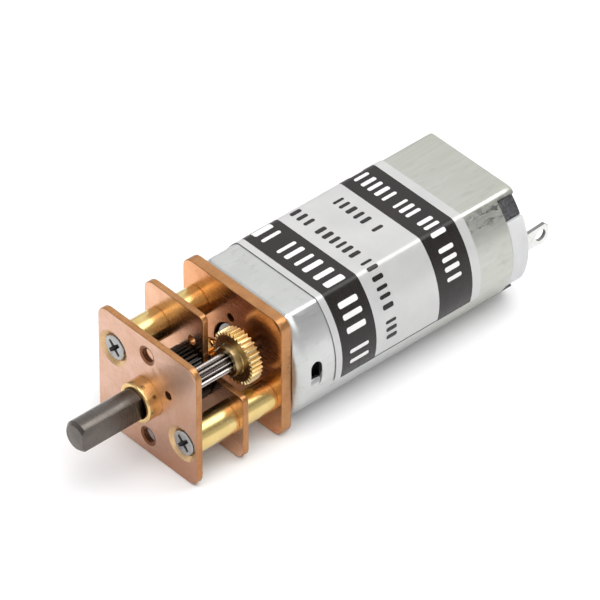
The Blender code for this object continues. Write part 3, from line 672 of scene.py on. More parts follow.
def can_material():
    """Plated drawn steel: streaks along the can, warmer towards its back, beaten near its edges."""
    s = Shading("can_steel")
    streaks = s.noise((3.5, 0.25, 3.5))
    clouds = s.noise((0.22, 0.14, 0.22), distortion=0.5)
    scratch = s.range(s.noise((16, 0.8, 16), 2.0), 0.66, 0.8)
    worn = s.range(s.noise((1.6, 0.7, 1.6), 6.0, 0.65), 0.56, 0.66)
    colour = s.fade(clouds, 0.35, 0.65, (0.57, 0.58, 0.57), (0.51, 0.52, 0.505))
    colour = s.fade(s.along("Y"), 20.0, 36.0, colour, (0.46, 0.465, 0.415))
    colour = s.fade(streaks, 0.4, 0.75, colour, (0.62, 0.625, 0.61), 0.30)
    colour = s.blend(s.times(worn, 0.22), colour, (0.31, 0.31, 0.29))
    height = s.maths("ABSOLUTE", s.along("Z"))
    near_edge = s.range(height, CAN_HALF_HEIGHT - 0.15, CAN_HALF_HEIGHT - 0.5)
    beaten = s.times(s.times(s.range(height, 4.0, 4.6), near_edge), s.range(s.along("Y"), 31.5, 33.5))
    dings = s.times(beaten, s.range(s.noise((2.2, 1.1, 2.2), 5.0), 0.50, 0.60))
    colour = s.blend(s.times(dings, 0.75), colour, (0.10, 0.10, 0.095))
    rough = s.plus(s.range(streaks, 0.3, 0.7, 0.26, 0.34), s.range(clouds, 0.3, 0.7, 0.0, 0.07))
    s.set(base_color=colour, roughness=s.plus(rough, s.times(worn, 0.1)), metallic=1.0)
    surface = s.plus(s.times(streaks, 0.6), s.times(s.noise(9, 3.0), 0.5))
    surface = s.plus(surface, s.times(scratch, -0.5))
    return s.relief(s.plus(surface, s.times(dings, -6.0)), 0.004, 0.55)


def label_material(name, light, deep, metallic, rough, specular=0.5):
    """Printed satin foil: a fine grain, slow clouding, and handling marks in the gloss."""
    s = Shading(name)
    grain = s.noise(12, 2.0)
    wipes = s.noise((0.5, 2.4, 0.5), 3.0)
    s.set(base_color=s.fade(s.noise(0.3), 0.3, 0.7, light, deep))
    s.set(metallic=metallic, specular_ior_level=specular)
    s.set(roughness=s.plus(s.range(wipes, 0.3, 0.7, *rough), s.range(grain, 0.3, 0.7, -0.02, 0.04)))
    return s.relief(grain, 0.002, 0.4)


def plastic_material(name, light, deep, subsurface=0.0):
    """Moulded plastic: a fine moulded grain and slight flow marks."""
    s = Shading(name)
    grain = s.noise(10, 3.0)
    flow = s.noise((0.5, 1.5, 0.5), 3.0, distortion=0.6)
    s.set(base_color=s.fade(flow, 0.3, 0.7, light, deep), roughness=s.range(grain, 0.3, 0.7, 0.38, 0.52))
    s.set(subsurface_weight=subsurface, subsurface_scale=0.5 * MM)
    return s.relief(grain, 0.006, 0.5)


def tinned_material():
    """Tinned strip: bright, a little milky, with rolling lines and small solder ripples."""
    s = Shading("tinned_brass")
    ripples = s.noise(1.6, distortion=0.8)
    colour = s.fade(ripples, 0.35, 0.65, (0.74, 0.74, 0.72), (0.62, 0.62, 0.60))
    s.set(base_color=colour, roughness=s.range(ripples, 0.3, 0.7, 0.22, 0.4), metallic=1.0)
    return s.relief(s.plus(s.noise((14, 0.6, 14), 3.0), s.times(ripples, 1.4)), 0.006, 0.6)


def grainy_material(name, light, deep, rough, metallic, scale, depth):
    """A pressed or sintered body: speckled grains with pores."""
    s = Shading(name)
    inputs = {"Vector": s.stretch(scale, scale, scale), "Scale": 1.0}
    grains = s.add("ShaderNodeTexVoronoi", inputs).outputs["Distance"]
    shade = s.plus(s.times(grains, 0.7), s.times(s.noise(0.8, 5.0), 0.6))
    s.set(base_color=s.fade(shade, 0.25, 0.8, light, deep), metallic=metallic)
    s.set(roughness=s.range(grains, 0.1, 0.7, *rough))
    return s.relief(grains, depth, 0.5)


def lamination_material():
    """A stack of thin steel stampings: fine lines round the core at each sheet."""
    s = Shading("lamination")
    phase = s.maths("FRACT", s.times(s.along("Y"), 2.0))
    gap = s.range(s.maths("ABSOLUTE", s.maths("SUBTRACT", phase, 0.5)), 0.40, 0.48)
    stain = s.noise((0.7, 3, 0.7))
    colour = s.fade(stain, 0.3, 0.7, (0.40, 0.41, 0.43), (0.28, 0.27, 0.27))
    s.set(base_color=s.blend(gap, colour, (0.07, 0.06, 0.05)), metallic=1.0)
    s.set(roughness=s.range(stain, 0.3, 0.7, 0.35, 0.5))
    return s.relief(gap, -0.03, 0.8)


def winding_material():
    """Enamelled wire laid side by side along the coil."""
    s = Shading("enamelled_wire")
    inputs = {"Vector": s.stretch(1, 0.12, 1), "Scale": 1.6, "Distortion": 1.2, "Detail": 1.0}
    turns = s.add("ShaderNodeTexWave", inputs, wave_type="BANDS", bands_direction="DIAGONAL").outputs["Fac"]
    lacquer = s.noise(1.2)
    colour = s.fade(lacquer, 0.3, 0.7, (0.62, 0.25, 0.09), (0.42, 0.14, 0.05))
    # Painted shade: the colour darkens in the grooves between the turns.
    s.set(base_color=s.fade(turns, 0.0, 0.35, (0.12, 0.03, 0.01), colour))
    s.set(roughness=s.range(lacquer, 0.3, 0.7, 0.22, 0.36), metallic=0.6)
    return s.relief(turns, 0.08, 0.8)


# The plates share one copper plating. Each plate's copy has its base colour set to how lit that plate looks, which
# is painted light and shade. The front and middle plates' backs are darkened as painted shade.
COPPER = copper_plate_material(
    "copper_plate_face", (0.70, 0.465, 0.365), (0.64, 0.395, 0.275), (0.36, 0.165, 0.09), (0.34, 0.42), 0.7
)
MIDDLE_COPPER = copper_plate_material(
    "copper_middle_face", (0.80, 0.49, 0.33), (0.72, 0.39, 0.235), (0.55, 0.27, 0.14)
)
INNER_COPPER = copper_plate_material(
    "copper_inner_face", (0.80, 0.40, 0.20), (0.70, 0.32, 0.15), (0.50, 0.20, 0.085)
)
SHADED_COPPER = copper_plate_material(
    "copper_shaded_face", (0.20, 0.09, 0.045), (0.16, 0.07, 0.03), (0.12, 0.045, 0.02)
)
SINK_COPPER = brass_material("countersink", (0.68, 0.46, 0.26), (0.56, 0.36, 0.18), (0.22, 0.34))
# Painted shade: the walls of the tapped holes are darkened to stand in for the shade inside them.
THREAD_SHADE_COPPER = steel_material(
    "thread_painted_shade", (0.26, 0.11, 0.055), (0.15, 0.06, 0.03), (0.25, 0.4), 5, stain=(0.08, 0.03, 0.02)
)
COPPER_EDGE = copper_edge_material()
POST_BRASS = brass_material("post_brass", (0.74, 0.57, 0.25), (0.65, 0.48, 0.185), (0.22, 0.27), 6)
BUSH_BRASS = brass_material("bush_brass", (0.80, 0.56, 0.26), (0.70, 0.45, 0.18), (0.16, 0.24))
GEAR_BRASS = brass_material(
    "gear_brass", (0.92, 0.76, 0.44), (0.86, 0.68, 0.35), (0.24, 0.34), 8, roots=(2.15, 2.4)
)
ORANGE_BRASS = brass_material("orange_brass", (0.90, 0.56, 0.18), (0.80, 0.46, 0.13), (0.2, 0.3), 8)
PIN_BRASS = brass_material("pin_brass", (0.74, 0.46, 0.17), (0.66, 0.38, 0.12), (0.15, 0.25))
SCREW_STEEL = steel_material("screw_steel", (0.43, 0.43, 0.42), (0.31, 0.31, 0.305), (0.20, 0.32))
# Painted shade: the cross recess is a dark copy of the screw's steel, standing in for the shade inside it.
RECESS_SHADE_STEEL = steel_material("screw_recess_painted_shade", (0.10, 0.095, 0.09), (0.05, 0.05, 0.05), (0.35, 0.5))
SHAFT_STEEL = steel_material("shaft_steel", (0.15, 0.134, 0.12), (0.095, 0.085, 0.076), (0.24, 0.36))
GEAR_STEEL = steel_material("gear_steel", (0.075, 0.073, 0.07), (0.035, 0.034, 0.034), (0.24, 0.36))
PINION_STEEL = steel_material(
    "pinion_steel", (0.54, 0.495, 0.465), (0.42, 0.38, 0.355), (0.22, 0.32), 4, 0.0006, roots=(0.62, 0.84)
)
CAN_STEEL = can_material()
# Painted shade: a dark steel for the dents at the can's back, standing in for the shade in them.
DENT_SHADE_STEEL = grainy_material(
    "dent_painted_shade", (0.20, 0.20, 0.205), (0.09, 0.09, 0.095), (0.35, 0.55), 1.0, 4.0, 0.05
)
LABEL_SILVER = label_material("label_silver", (0.555, 0.555, 0.545), (0.50, 0.50, 0.495), 0.35, (0.30, 0.38))
LABEL_DARK = label_material(
    "label_dark", (0.016, 0.0125, 0.011), (0.010, 0.008, 0.007), 0.0, (0.22, 0.30), specular=0.33
)
LABEL_WHITE = label_material("label_white_ink", (0.78, 0.77, 0.76), (0.72, 0.71, 0.70), 0.0, (0.30, 0.40))
NYLON = plastic_material("nylon", (0.60, 0.60, 0.60), (0.54, 0.54, 0.545), 0.1)
WASHER_NYLON = plastic_material("washer_nylon", (0.82, 0.82, 0.79), (0.74, 0.74, 0.70))
COMMUTATOR_PLASTIC = plastic_material("commutator_plastic", (0.16, 0.09, 0.06), (0.10, 0.055, 0.04))
TINNED = tinned_material()
# Painted reflection: the terminals' edges are darkened as if they mirrored dark surroundings.
TINNED_EDGE_SHADE = steel_material("tinned_edge_painted_shade", (0.30, 0.30, 0.295), (0.18, 0.18, 0.175), (0.3, 0.45))
BRONZE = grainy_material("bronze", (0.42, 0.28, 0.15), (0.24, 0.15, 0.08), (0.35, 0.6), 1.0, 9.0, 0.02)
MAGNET = grainy_material("magnet", (0.10, 0.10, 0.105), (0.055, 0.055, 0.06), (0.5, 0.75), 0.0, 6.0, 0.03)
GRAPHITE = grainy_material("graphite", (0.075, 0.075, 0.08), (0.03, 0.03, 0.03), (0.45, 0.7), 0.1, 14.0, 0.02)
LAMINATION = lamination_material()
WINDING = winding_material()
COPPER_STRIP = steel_material("copper_strip", (0.80, 0.46, 0.30), (0.66, 0.34, 0.20), (0.2, 0.34), 12)


# ---- gearbox frame


def build_plates():
    """The three plates, with rounded stamped edges, countersinks and tapped mounting holes."""
    clearance = THREAD_RADIUS + FIT
    posts = [(clearance, place, 0.05, 40) for place in POST_PLACES.values()]
    spare = (ARBOR_RADIUS + FIT, polar(CENTRE_DISTANCE, SPARE_PIVOT_ANGLE), 0.05, 24)
    pivot = (ARBOR_RADIUS + FIT, ARBOR_PLACE, 0.05, 24)
    front, back = span("front_plate")
    sink = [
        (COUNTERSINK_RADIUS + SINK_LIP, front),
        (COUNTERSINK_RADIUS + SINK_LIP / 2, front + 0.05),
        (COUNTERSINK_RADIUS - SINK_LIP, front + 0.12),
        (COUNTERSINK_RADIUS - COUNTERSINK_DEPTH, COUNTERSINK_DEPTH),
        (clearance, COUNTERSINK_DEPTH + 0.005),
        (clearance, back),
    ]
    pitch = (back - front) / TAPPED_TURNS
    thread = [(TAPPED_MAJOR, front)]
    for turn in range(TAPPED_TURNS):
        thread.append((TAPPED_MINOR, front + pitch * (turn + 0.5)))
        thread.append((TAPPED_MAJOR - 0.14, front + pitch * (turn + 0.95)))
    thread[-1] = (TAPPED_MINOR + 0.1, back)
    special = [(bore_stack(sink, place), 2) for place in POST_PLACES.values()]
    special += [(bore_stack(thread, (0.0, side * MOUNT_SPACING / 2)), 3) for side in (-1, 1)]
    holes = [(BUSH_RADIUS, AXIS, 0.015, 64), pivot]
    materials = [COPPER, COPPER_EDGE, SINK_COPPER, THREAD_SHADE_COPPER, SHADED_COPPER]
    plate("front_plate", square_plate, holes, materials, 4, special)

    holes = [*posts, (JOURNAL_RADIUS + FIT, AXIS, 0.05, 40), spare]
    plate("middle_plate", notched_plate, holes, [MIDDLE_COPPER, COPPER_EDGE, SHADED_COPPER], 2)

    pin = (half_sizes("locating_pin")[0] + FIT, middle("locating_pin"), 0.05, 40)
    holes = [*posts, spare, pivot, (BOSS_HOLE_RADIUS, AXIS, 0.08, 64), pin]
    plate("rear_plate", square_plate, holes, [INNER_COPPER, COPPER_EDGE], 0)


def plate(node, outline_at, holes, materials, behind, special=()):
    """One plate: materials 0 and 1 are its face's and its edges', and behind is the number of its back's.

    Its plain holes are given as radius, place, rim and steps, and special ones as a stack and a material.
    """
    depths = span(node)
    through = [(hole(radius, depths, place, rim, steps), 1) for radius, place, rim, steps in holes]
    outside = rim_stack(outline_at, depths, PLATE_RIM)
    sketch = Sketch().solid(outside, [*special, *through], wall=1, back_cap=behind)
    sketch.finish(node + "_sheet", node, materials)


def build_posts():
    """Turned brass posts, each with a stud at its back and a tapped hole at its front."""
    thread, bore = THREAD_RADIUS, THREAD_RADIUS + FIT
    for side, place in POST_PLACES.items():
        for name, (ahead, behind, bore_depth) in POSTS.items():
            node = f"{name}_{side}"
            front, back = span(ahead)[1], span(node)[1]
            shoulder = span(behind)[0]
            corners = [(bore, front + bore_depth, 0.0), (bore, front + 0.12, 0.0)]
            corners += [(thread + 0.15, front, 0.0), (POST_RADIUS, front, 0.06), (POST_RADIUS, shoulder, 0.06)]
            corners += [(thread, shoulder, 0.0), (thread, back - 0.1, 0.0), (thread - 0.1, back, 0.0)]
            turned(f"{node}_turned", node, corners, POST_BRASS, place)


def build_frame_screws():
    """Two countersunk screws with a tapered cross recess."""
    thread = THREAD_RADIUS - FIT
    for side, place in POST_PLACES.items():
        node = f"frame_screw_{side}"
        front, back = span(node)
        cone_end = front + SCREW_HEAD_RADIUS - thread
        profile = [(SCREW_HEAD_RADIUS - inset, front + depth) for inset, depth in SCREW_HEAD_EDGE]
        profile.append((thread, cone_end))
        run = (back - 0.3 - cone_end) / SCREW_TURNS
        for turn in range(SCREW_TURNS):
            profile.append((thread - 0.1, cone_end + (turn + 0.5) * run))
            profile.append((thread, cone_end + (turn + 1) * run))
        profile.append((thread - 0.3, back))
        recess = [(cross_outline(arm, reach), front + depth) for arm, reach, depth in SCREW_RECESS]
        screw = Sketch().solid(bore_stack(profile), front=[recess], blind=1)
        screw.finish(f"{node}_body", node, [SCREW_STEEL, RECESS_SHADE_STEEL], place)


def cross_outline(arm, reach):
    """A cross turned by 45 degrees: arms of a half width, reaching out from the middle."""
    outline = []
    for quarter in range(4):
        turn = math.radians(45) + quarter * math.pi / 2
        for along, across in ((arm, -arm), (reach, -arm * 0.75), (reach, arm * 0.75)):
            outline.append(polar(math.hypot(along, across), turn + math.atan2(across, along)))
    return outline


def build_locating_pin():
    """The brass pin in the rear plate."""
    node = "locating_pin"
    front, back = span(node)
    radius = half_sizes(node)[0]
    corners = [(CENTRE_MARK, front, 0.0), (radius, front, 0.14)]
    corners += [(radius, back, 0.03), (CENTRE_MARK, back, 0.0)]
    turned("locating_pin_body", node, corners, PIN_BRASS, middle(node))


# ---- shafts and gears


def build_output():
    """The bush in the front plate, the D-shaft, and its blackened gear."""
    front, back = span("output_bush")
    corners = [(SHAFT_BORE, front, 0.06), (BUSH_RADIUS, front, 0.16)]
    corners += [(BUSH_RADIUS, back, 0.05), (SHAFT_BORE, back, 0.05)]
    turned("output_bush_ring", "output_bush", corners, BUSH_BRASS, tube=True, steps=96)

    tip, end = span("output_shaft")
    shoulder = span("middle_plate")[0] - 0.05
    corners = [(CENTRE_MARK, tip, 0.0), (SHAFT_RADIUS - SHAFT_CHAMFER, tip, 0.04)]
    corners += [(SHAFT_RADIUS, tip + SHAFT_CHAMFER, 0.04), (SHAFT_RADIUS, shoulder, 0.05)]
    corners += [(JOURNAL_RADIUS, shoulder, 0.0), (JOURNAL_RADIUS, end, 0.05), (CENTRE_MARK, end, 0.0)]
    shaft = turned("output_shaft_bar", "output_shaft", corners, SHAFT_STEEL, steps=96)
    up, out = CUT_REACH

    def cut(low):
        """The part of the shaft's section that is cut away past low."""
        return [(low, -up), (low, up), (out, up), (out, -up)]

    whole = cut(FLAT_FROM_AXIS)
    run_out = (cut(FLAT_FROM_AXIS + FLAT_RUN_OUT), FLAT_END)
    carve(shaft, Sketch().solid([(whole, tip - 1.0), (whole, FLAT_END - FLAT_RUN_OUT), run_out]))

    boss_front, back = span("output_gear")
    hub = hub_stack(OUTPUT_HUB_RADIUS, 0.05, SHAFT_BORE, 0.06, (boss_front, OUTPUT_GEAR_FRONT, back))
    phase = ARBOR_ANGLE + math.pi / GEAR_TEETH
    gear("output_gear_wheel", "output_gear", GEAR_TEETH, phase, (OUTPUT_GEAR_FRONT, back), GEAR_STEEL, hub)


def hub_stack(radius, fillet, bore, rim, depths):
    """A gear's hub, from its front to the gear's face, and the bore through to the gear's back."""
    front, face, back = depths
    profile = [(radius + fillet, face), (radius, face - fillet), (radius, front + 0.08)]
    profile += [(radius - 0.08, front), (bore + rim, front), (bore, front + rim)]
    profile += [(bore, back - 0.05), (bore + 0.05, back)]
    return bore_stack(profile, steps=64)


def build_compound():
    """The brass gear and the long steel pinion that it turns."""
    hub_front, gear_back = span("compound_gear")
    seat = MODULE * PINION_TEETH / 2 + MODULE + FIT
    hub = hub_stack(COMPOUND_HUB_RADIUS, 0.06, seat, 0.04, (hub_front, COMPOUND_GEAR_FRONT, gear_back))
    phase = ARBOR_ANGLE + math.pi
    depths = (COMPOUND_GEAR_FRONT, gear_back)
    turn = phase + math.pi / GEAR_TEETH
    gear("compound_gear_wheel", "compound_gear", GEAR_TEETH, turn, depths, GEAR_BRASS, hub, ARBOR_PLACE)

    arbor_front, arbor_back = span("compound_pinion")
    stubs = []
    front, back = LONG_PINION
    for near, far, sign in ((front, arbor_front + ARBOR_RECESS, 1), (back, arbor_back, -1)):
        profile = [(ARBOR_RADIUS + 0.03, near), (ARBOR_RADIUS, near - sign * 0.03)]
        profile += [(ARBOR_RADIUS, far + sign * 0.06), (ARBOR_RADIUS - 0.06, far)]
        stubs.append([bore_stack(profile, steps=24)])
    ends = {"front": stubs[0], "back": stubs[1], "centre": ARBOR_PLACE}
    gear("compound_pinion_bar", "compound_pinion", PINION_TEETH, phase, LONG_PINION, PINION_STEEL, **ends)


def build_motor_shaft():
    """The motor's shaft and its brass pinion."""
    depths = span("motor_pinion")
    hub = hole(MOTOR_SHAFT_END_RADIUS + FIT, depths, rim=0.04, steps=64)
    gear("motor_pinion_wheel", "motor_pinion", PINION_TEETH, ARBOR_ANGLE, depths, ORANGE_BRASS, hub)
    front, back = span("motor_shaft")
    step = depths[1] + FIT
    corners = [(0.15, front, 0.0), (MOTOR_SHAFT_END_RADIUS, front, 0.05), (MOTOR_SHAFT_END_RADIUS, step, 0.0)]
    corners += [(MOTOR_SHAFT_RADIUS, step, 0.04), (MOTOR_SHAFT_RADIUS, back, 0.12), (0.15, back, 0.0)]
    turned("motor_shaft_bar", "motor_shaft", corners, PINION_STEEL, steps=40)


# ---- motor


def shaped(point, depth):
    """A point of the can's wall, pushed in at the dents and drawn in at the slots' round ends."""
    x, z = point
    dented = CUTOUT_HALF_HEIGHT - 0.01 < abs(z) < DENT_HALF_HEIGHT + 0.01 and depth > RIM_FRONT + 0.1
    share = 1 - DENT_DEPTH / CAN_RADIUS if dented else 1.0
    if depth in SLOT and abs(z) < SLOT_HALF_HEIGHT + 0.01:
        beyond = max(0.0, abs(z) - SLOT_HALF_HEIGHT + SLOT_HALF_WIDTH)
        width = max(math.sqrt(max(SLOT_HALF_WIDTH**2 - beyond**2, 0.0)), 0.1)
        depth = SLOT_MIDDLE + math.copysign(width, depth - SLOT_MIDDLE)
    return (x * share, depth, z * share)


def build_can():
    """The drawn can: one skin from its open back round the front edge and out over the bearing boss."""
    slot_front, slot_back = SLOT
    rows = [(0.0, depth) for depth in (CAN_BACK, CAN_BACK - 0.9, RIM_FRONT + 0.12)]
    rows += [(0.0, RIM_FRONT + (slot_back - RIM_FRONT) * step / 12) for step in range(12)]
    rows += [(0.0, slot_back), (0.0, SLOT_MIDDLE), (0.0, slot_front)]
    for step in range(7):
        turn = math.pi / 2 * step / 6
        inset = CAN_FRONT_ROUNDING * (1 - math.cos(turn))
        rows.append((inset, CAN_FRONT + CAN_FRONT_ROUNDING * (1 - math.sin(turn))))
    sketch = Sketch()
    rings = [sketch.points([shaped(point, depth) for point in can_section(inset)]) for inset, depth in rows]

    last = can_section(CAN_FRONT_ROUNDING)
    turns = [math.atan2(z, x) for x, z in last]
    boss = [(BOSS_RADIUS + 0.25, CAN_FRONT), (BOSS_RADIUS + 0.07, CAN_FRONT - 0.07)]
    boss += [(BOSS_RADIUS, CAN_FRONT - 0.25), (BOSS_RADIUS, BOSS_FRONT + 0.12)]
    boss += [(BOSS_RADIUS - 0.04, BOSS_FRONT + 0.03)]
    boss += [(BOSS_RADIUS - 0.12, BOSS_FRONT), (BEARING_SEAT + 0.05, BOSS_FRONT)]
    boss += [(BEARING_SEAT, BOSS_FRONT + 0.06), (BEARING_SEAT, CAN_FRONT + CAN_WALL)]
    foot = [Vector(polar(boss[0][0], turn)) for turn in turns]
    stack = []
    for share in (0.25, 0.5, 0.75):
        stack.append(([Vector(point).lerp(end, share) for point, end in zip(last, foot)], CAN_FRONT))
    stack += [([polar(radius, turn) for turn in turns], depth) for radius, depth in boss]
    rings += sketch.rings(stack)
    section = can_section()

    def is_open(row, column):
        """True for the faces inside a side slot or a rim cut-out."""
        if row >= len(rows) - 1:
            return False
        depth = (rows[row][1] + rows[row + 1][1]) / 2
        x, z = (Vector(section[column]) + Vector(section[(column + 1) % len(section)])) / 2
        in_slot = slot_front < depth < slot_back and abs(z) < SLOT_HALF_HEIGHT
        in_cutout = depth > RIM_FRONT and abs(z) < CUTOUT_HALF_HEIGHT
        return abs(x) > CAN_HALF_HEIGHT and (in_slot or in_cutout)

    sketch.wall(rings, skip=is_open)
    # The dents' faces take the dark steel: painted shade.
    for face in sketch.mesh.faces:
        _, depth, z = face.calc_center_median()
        if depth > RIM_FRONT and CUTOUT_HALF_HEIGHT < abs(z) < DENT_HALF_HEIGHT + 0.1:
            face.material_index = 1
    loose = [vert for vert in sketch.mesh.verts if not vert.link_faces]
    bmesh.ops.delete(sketch.mesh, geom=loose, context="VERTS")
    can = sketch.finish("motor_can_shell", "motor_can", [CAN_STEEL, DENT_SHADE_STEEL], sharp=40, weight=0)
    modify(can, "SOLIDIFY", thickness=(CAN_WALL - 0.03) * MM, offset=-1.0, use_even_offset=True)
    modify(can, "BEVEL", width=0.05 * MM, segments=2, limit_method="ANGLE", angle_limit=math.radians(60))
    modify(can, "WEIGHTED_NORMAL", keep_sharp=True)


def build_crimps():
    """The four tabs of the can that are folded over the end bell."""
    sketch = Sketch()
    inner_top = CAN_HALF_HEIGHT - CAN_WALL
    for up in (-1, 1):
        low, high = sorted((up * (inner_top - 0.6), up * (inner_top + 0.1)))
        for x in (-CRIMP_OFFSET, CRIMP_OFFSET):

            def tab(inset):
                corners = rectangle(CRIMP_HALF_WIDTH - inset, low + inset, high - inset, 0.15)
                return [(x + tab_x, z) for tab_x, z in rounded(corners, 4)]

            sketch.solid(rim_stack(tab, CRIMP, 0.08))
    sketch.finish("can_crimps", "motor_can", [CAN_STEEL], added=True)


def build_slot_tabs():
    """The tab that was lanced out of each side slot: it bends inwards from the slot's lower end."""
    sketch = Sketch()
    low, high = TAB_HEIGHTS
    for side in (-1, 1):
        rings = []
        for step in range(TAB_STEPS + 1):
            share = step / TAB_STEPS
            height = low + (high - low) * share
            width = (SLOT_HALF_WIDTH - 0.03) * (0.45 + 0.55 * math.sin(math.pi / 2 * min(1.0, share * 2)))
            outer = CAN_RADIUS - 0.02 - TAB_BEND * share**2
            inner_x, outer_x = (side * math.sqrt(r**2 - height**2) for r in (outer - TAB_THICKNESS, outer))
            corners = ((inner_x, -width), (outer_x, -width), (outer_x, width), (inner_x, width))
            rings.append(sketch.points([(x, SLOT_MIDDLE + across, height) for x, across in corners]))
        sketch.bar(rings)
    sketch.finish("can_slot_tabs", "motor_can", [CAN_STEEL], added=True, sharp=50)


def bell_section(inset):
    """The bell fills the can's mouth, and reaches out to the can's outer face at the sides."""
    behind_dent = CAN_RADIUS - CAN_WALL - BELL_GAP - inset - DENT_DEPTH
    outer = CAN_RADIUS - 0.01 - inset
    rim_angle = math.asin((RIM_HALF_HEIGHT - inset) / outer)
    top_angle = math.asin((CAN_HALF_HEIGHT - CAN_WALL - BELL_GAP - inset) / behind_dent) - 0.02
    upper = [polar(outer - 0.04, rim_angle - 0.007), polar(outer - 0.14, rim_angle)]
    upper += arc(behind_dent, rim_angle + 0.004, top_angle, 9)
    lower = [(x, -z) for x, z in reversed(upper)]
    return mirrored(lower + arc(outer, -rim_angle + 0.02, rim_angle - 0.02, 24) + upper)


def build_end_bell():
    """The nylon end bell: a plate, two side rims flush with the can, and the rear bearing's boss."""
    front, back = BELL_PLATE
    boss_back = span("end_bell")[1]
    half_z = TERMINAL_HALF_WIDTH + FIT
    opening = rounded(rectangle(TERMINAL_THICKNESS / 2 + FIT, -half_z, half_z, 0.05), 3)
    slots = []
    for sign in (-1, 1):
        outline = [(sign * TERMINAL_X + x, z) for x, z in opening]
        slots.append(([(outline, front), (outline, CAN_BACK)], 0))
    sketch = Sketch().solid(rim_stack(bell_section, (front, CAN_BACK), 0.12), slots)
    moulding = sketch.finish("end_bell_moulding", "end_bell", [NYLON])
    half_x, half_z = BELL_DISH
    dish = rounded(rectangle(half_x, -half_z, half_z, 0.3))
    carve(moulding, Sketch().solid([(dish, back), (dish, CAN_BACK + 1.0)]))
    well = REAR_BOSS_RADIUS - 0.2
    carve(moulding, Sketch().solid(bore_stack([(well, front - 1.0), (well, boss_back + 1.0)])))

    root = REAR_BOSS_RADIUS - 0.1
    corners = [(BEARING_SEAT, front, 0.04), (root, front, 0.0), (root, back - 0.02, 0.0)]
    corners += [(REAR_BOSS_RADIUS + 0.18, back - 0.02, 0.0), (REAR_BOSS_RADIUS, back + 0.18, 0.0)]
    corners += [(REAR_BOSS_RADIUS, boss_back, 0.3), (BEARING_SEAT, boss_back, 0.1)]
    turned("end_bell_boss", "end_bell", corners, NYLON, tube=True, added=True)


def build_bearings():
    """Sintered bearings, in the can's boss and in the end bell's."""
    bore = MOTOR_SHAFT_RADIUS + FIT
    for node in ("front_bearing", "rear_bearing"):
        front, back = span(node)
        corners = [(bore, front, 0.08), (BEARING_RADIUS, front, 0.1)]
        corners += [(BEARING_RADIUS, back, 0.1), (bore, back, 0.08)]
        turned(f"{node}_ring", node, corners, BRONZE, tube=True, steps=48)


def terminal_tag(inset, foot_front, tip):
    """A terminal's outline in depth and height: it widens towards its tip, which has its corners cut."""
    half = TERMINAL_HALF_WIDTH - inset
    wide = half + TERMINAL_FLARE
    cut_back = tip - TERMINAL_CHAMFER
    upper = [(tip - inset, wide - TERMINAL_CHAMFER, 0.1), (cut_back, wide, 0.08), (CAN_BACK, half, 0.0)]
    upper.append((foot_front, half, 0.0))
    return rounded([(x, -z, rounding) for x, z, rounding in reversed(upper)] + upper, 4)


def build_terminals():
    """Bent solder terminals: a foot inside, and a tag with a hole and cut corners outside."""
    foot_front, tip = span("terminal_right")
    foot_back = BELL_PLATE[0] - 0.05
    inner, outer = TERMINAL_X - TERMINAL_THICKNESS / 2, TERMINAL_X + TERMINAL_THICKNESS / 2
    foot_end = outer - half_sizes("terminal_right")[0] * 2
    depth, radius = TERMINAL_HOLE
    rim = TERMINAL_RIM
    layers = [(rim, inner), (0.0, inner + rim), (0.0, outer - rim), (rim, outer)]
    for side, sign in (("left", -1), ("right", 1)):
        sketch = Sketch()

        def across(outline, x):
            return sketch.points([(sign * x, along, z) for along, z in outline])

        tag = [across(terminal_tag(inset, foot_front, tip), x) for inset, x in layers]
        bore = [across(circle(radius + inset, 32, (depth, 0.0)), x) for inset, x in layers]
        sketch.wall(tag, 1)
        sketch.wall(bore, 1)
        sketch.cap([tag[0], bore[0]])
        sketch.cap([tag[-1], bore[-1]])
        foot = [(foot_end, foot_front), (inner, foot_front), (inner, foot_back), (foot_end, foot_back)]
        heights = (-TERMINAL_HALF_WIDTH, TERMINAL_HALF_WIDTH)
        sketch.bar([sketch.points([(sign * x, along, z) for x, along in foot]) for z in heights])
        sketch.finish(f"terminal_{side}_strip", f"terminal_{side}", [TINNED, TINNED_EDGE_SHADE])


# ---- label


def label_path(offset):
    """The label's path over the can, from its lower left edge to its lower right edge."""
    start = polar(CAN_RADIUS + offset, math.asin(LABEL_LOWER_EDGE / (CAN_RADIUS + offset)))
    right = [point for point in can_section(-offset, 16) if point[1] > LABEL_LOWER_EDGE and point[0] > 0]
    right.sort(key=lambda point: math.atan2(point[1], point[0]))
    if math.dist(start, right[0]) < 0.05:
        right = right[1:]
    side = [start, *right]
    return [(-x, z) for x, z in side] + side[::-1]


def build_label():
    """A satin silver label with two dark bands."""
    front, back = span("label")
    section = label_path(LABEL_TOP) + label_path(LABEL_GAP)[::-1]
    depths = [front, front + 0.02, *FIRST_BAND, *SECOND_BAND, back - 0.02, back]
    sketch = Sketch()
    rings = sketch.rings([(section, depth) for depth in depths])
    for pair, material in zip(zip(rings, rings[1:]), (0, 0, 1, 0, 1, 0, 0)):
        sketch.wall(pair, material)
    sketch.cap([rings[0]])
    sketch.cap([rings[-1]])
    sketch.finish("label_foil", "label", [LABEL_SILVER, LABEL_DARK], sharp=40)


def along_label(distance, offset):
    """The point (x, z) on the label's path at a distance from the top's middle, positive to the right."""
    path = [point for point in label_path(offset) if point[0] >= 0]
    path.sort(key=lambda point: -math.atan2(point[1], point[0]))
    path.insert(0, (0.0, path[0][1]))
    sign, left = math.copysign(1.0, distance), abs(distance)
    for near, far in zip(path, path[1:]):
        length = math.dist(near, far)
        if left <= length and length > 0:
            x, z = Vector(near).lerp(Vector(far), left / length)
            return (sign * x, z)
        left -= length
    return (sign * path[-1][0], path[-1][1])


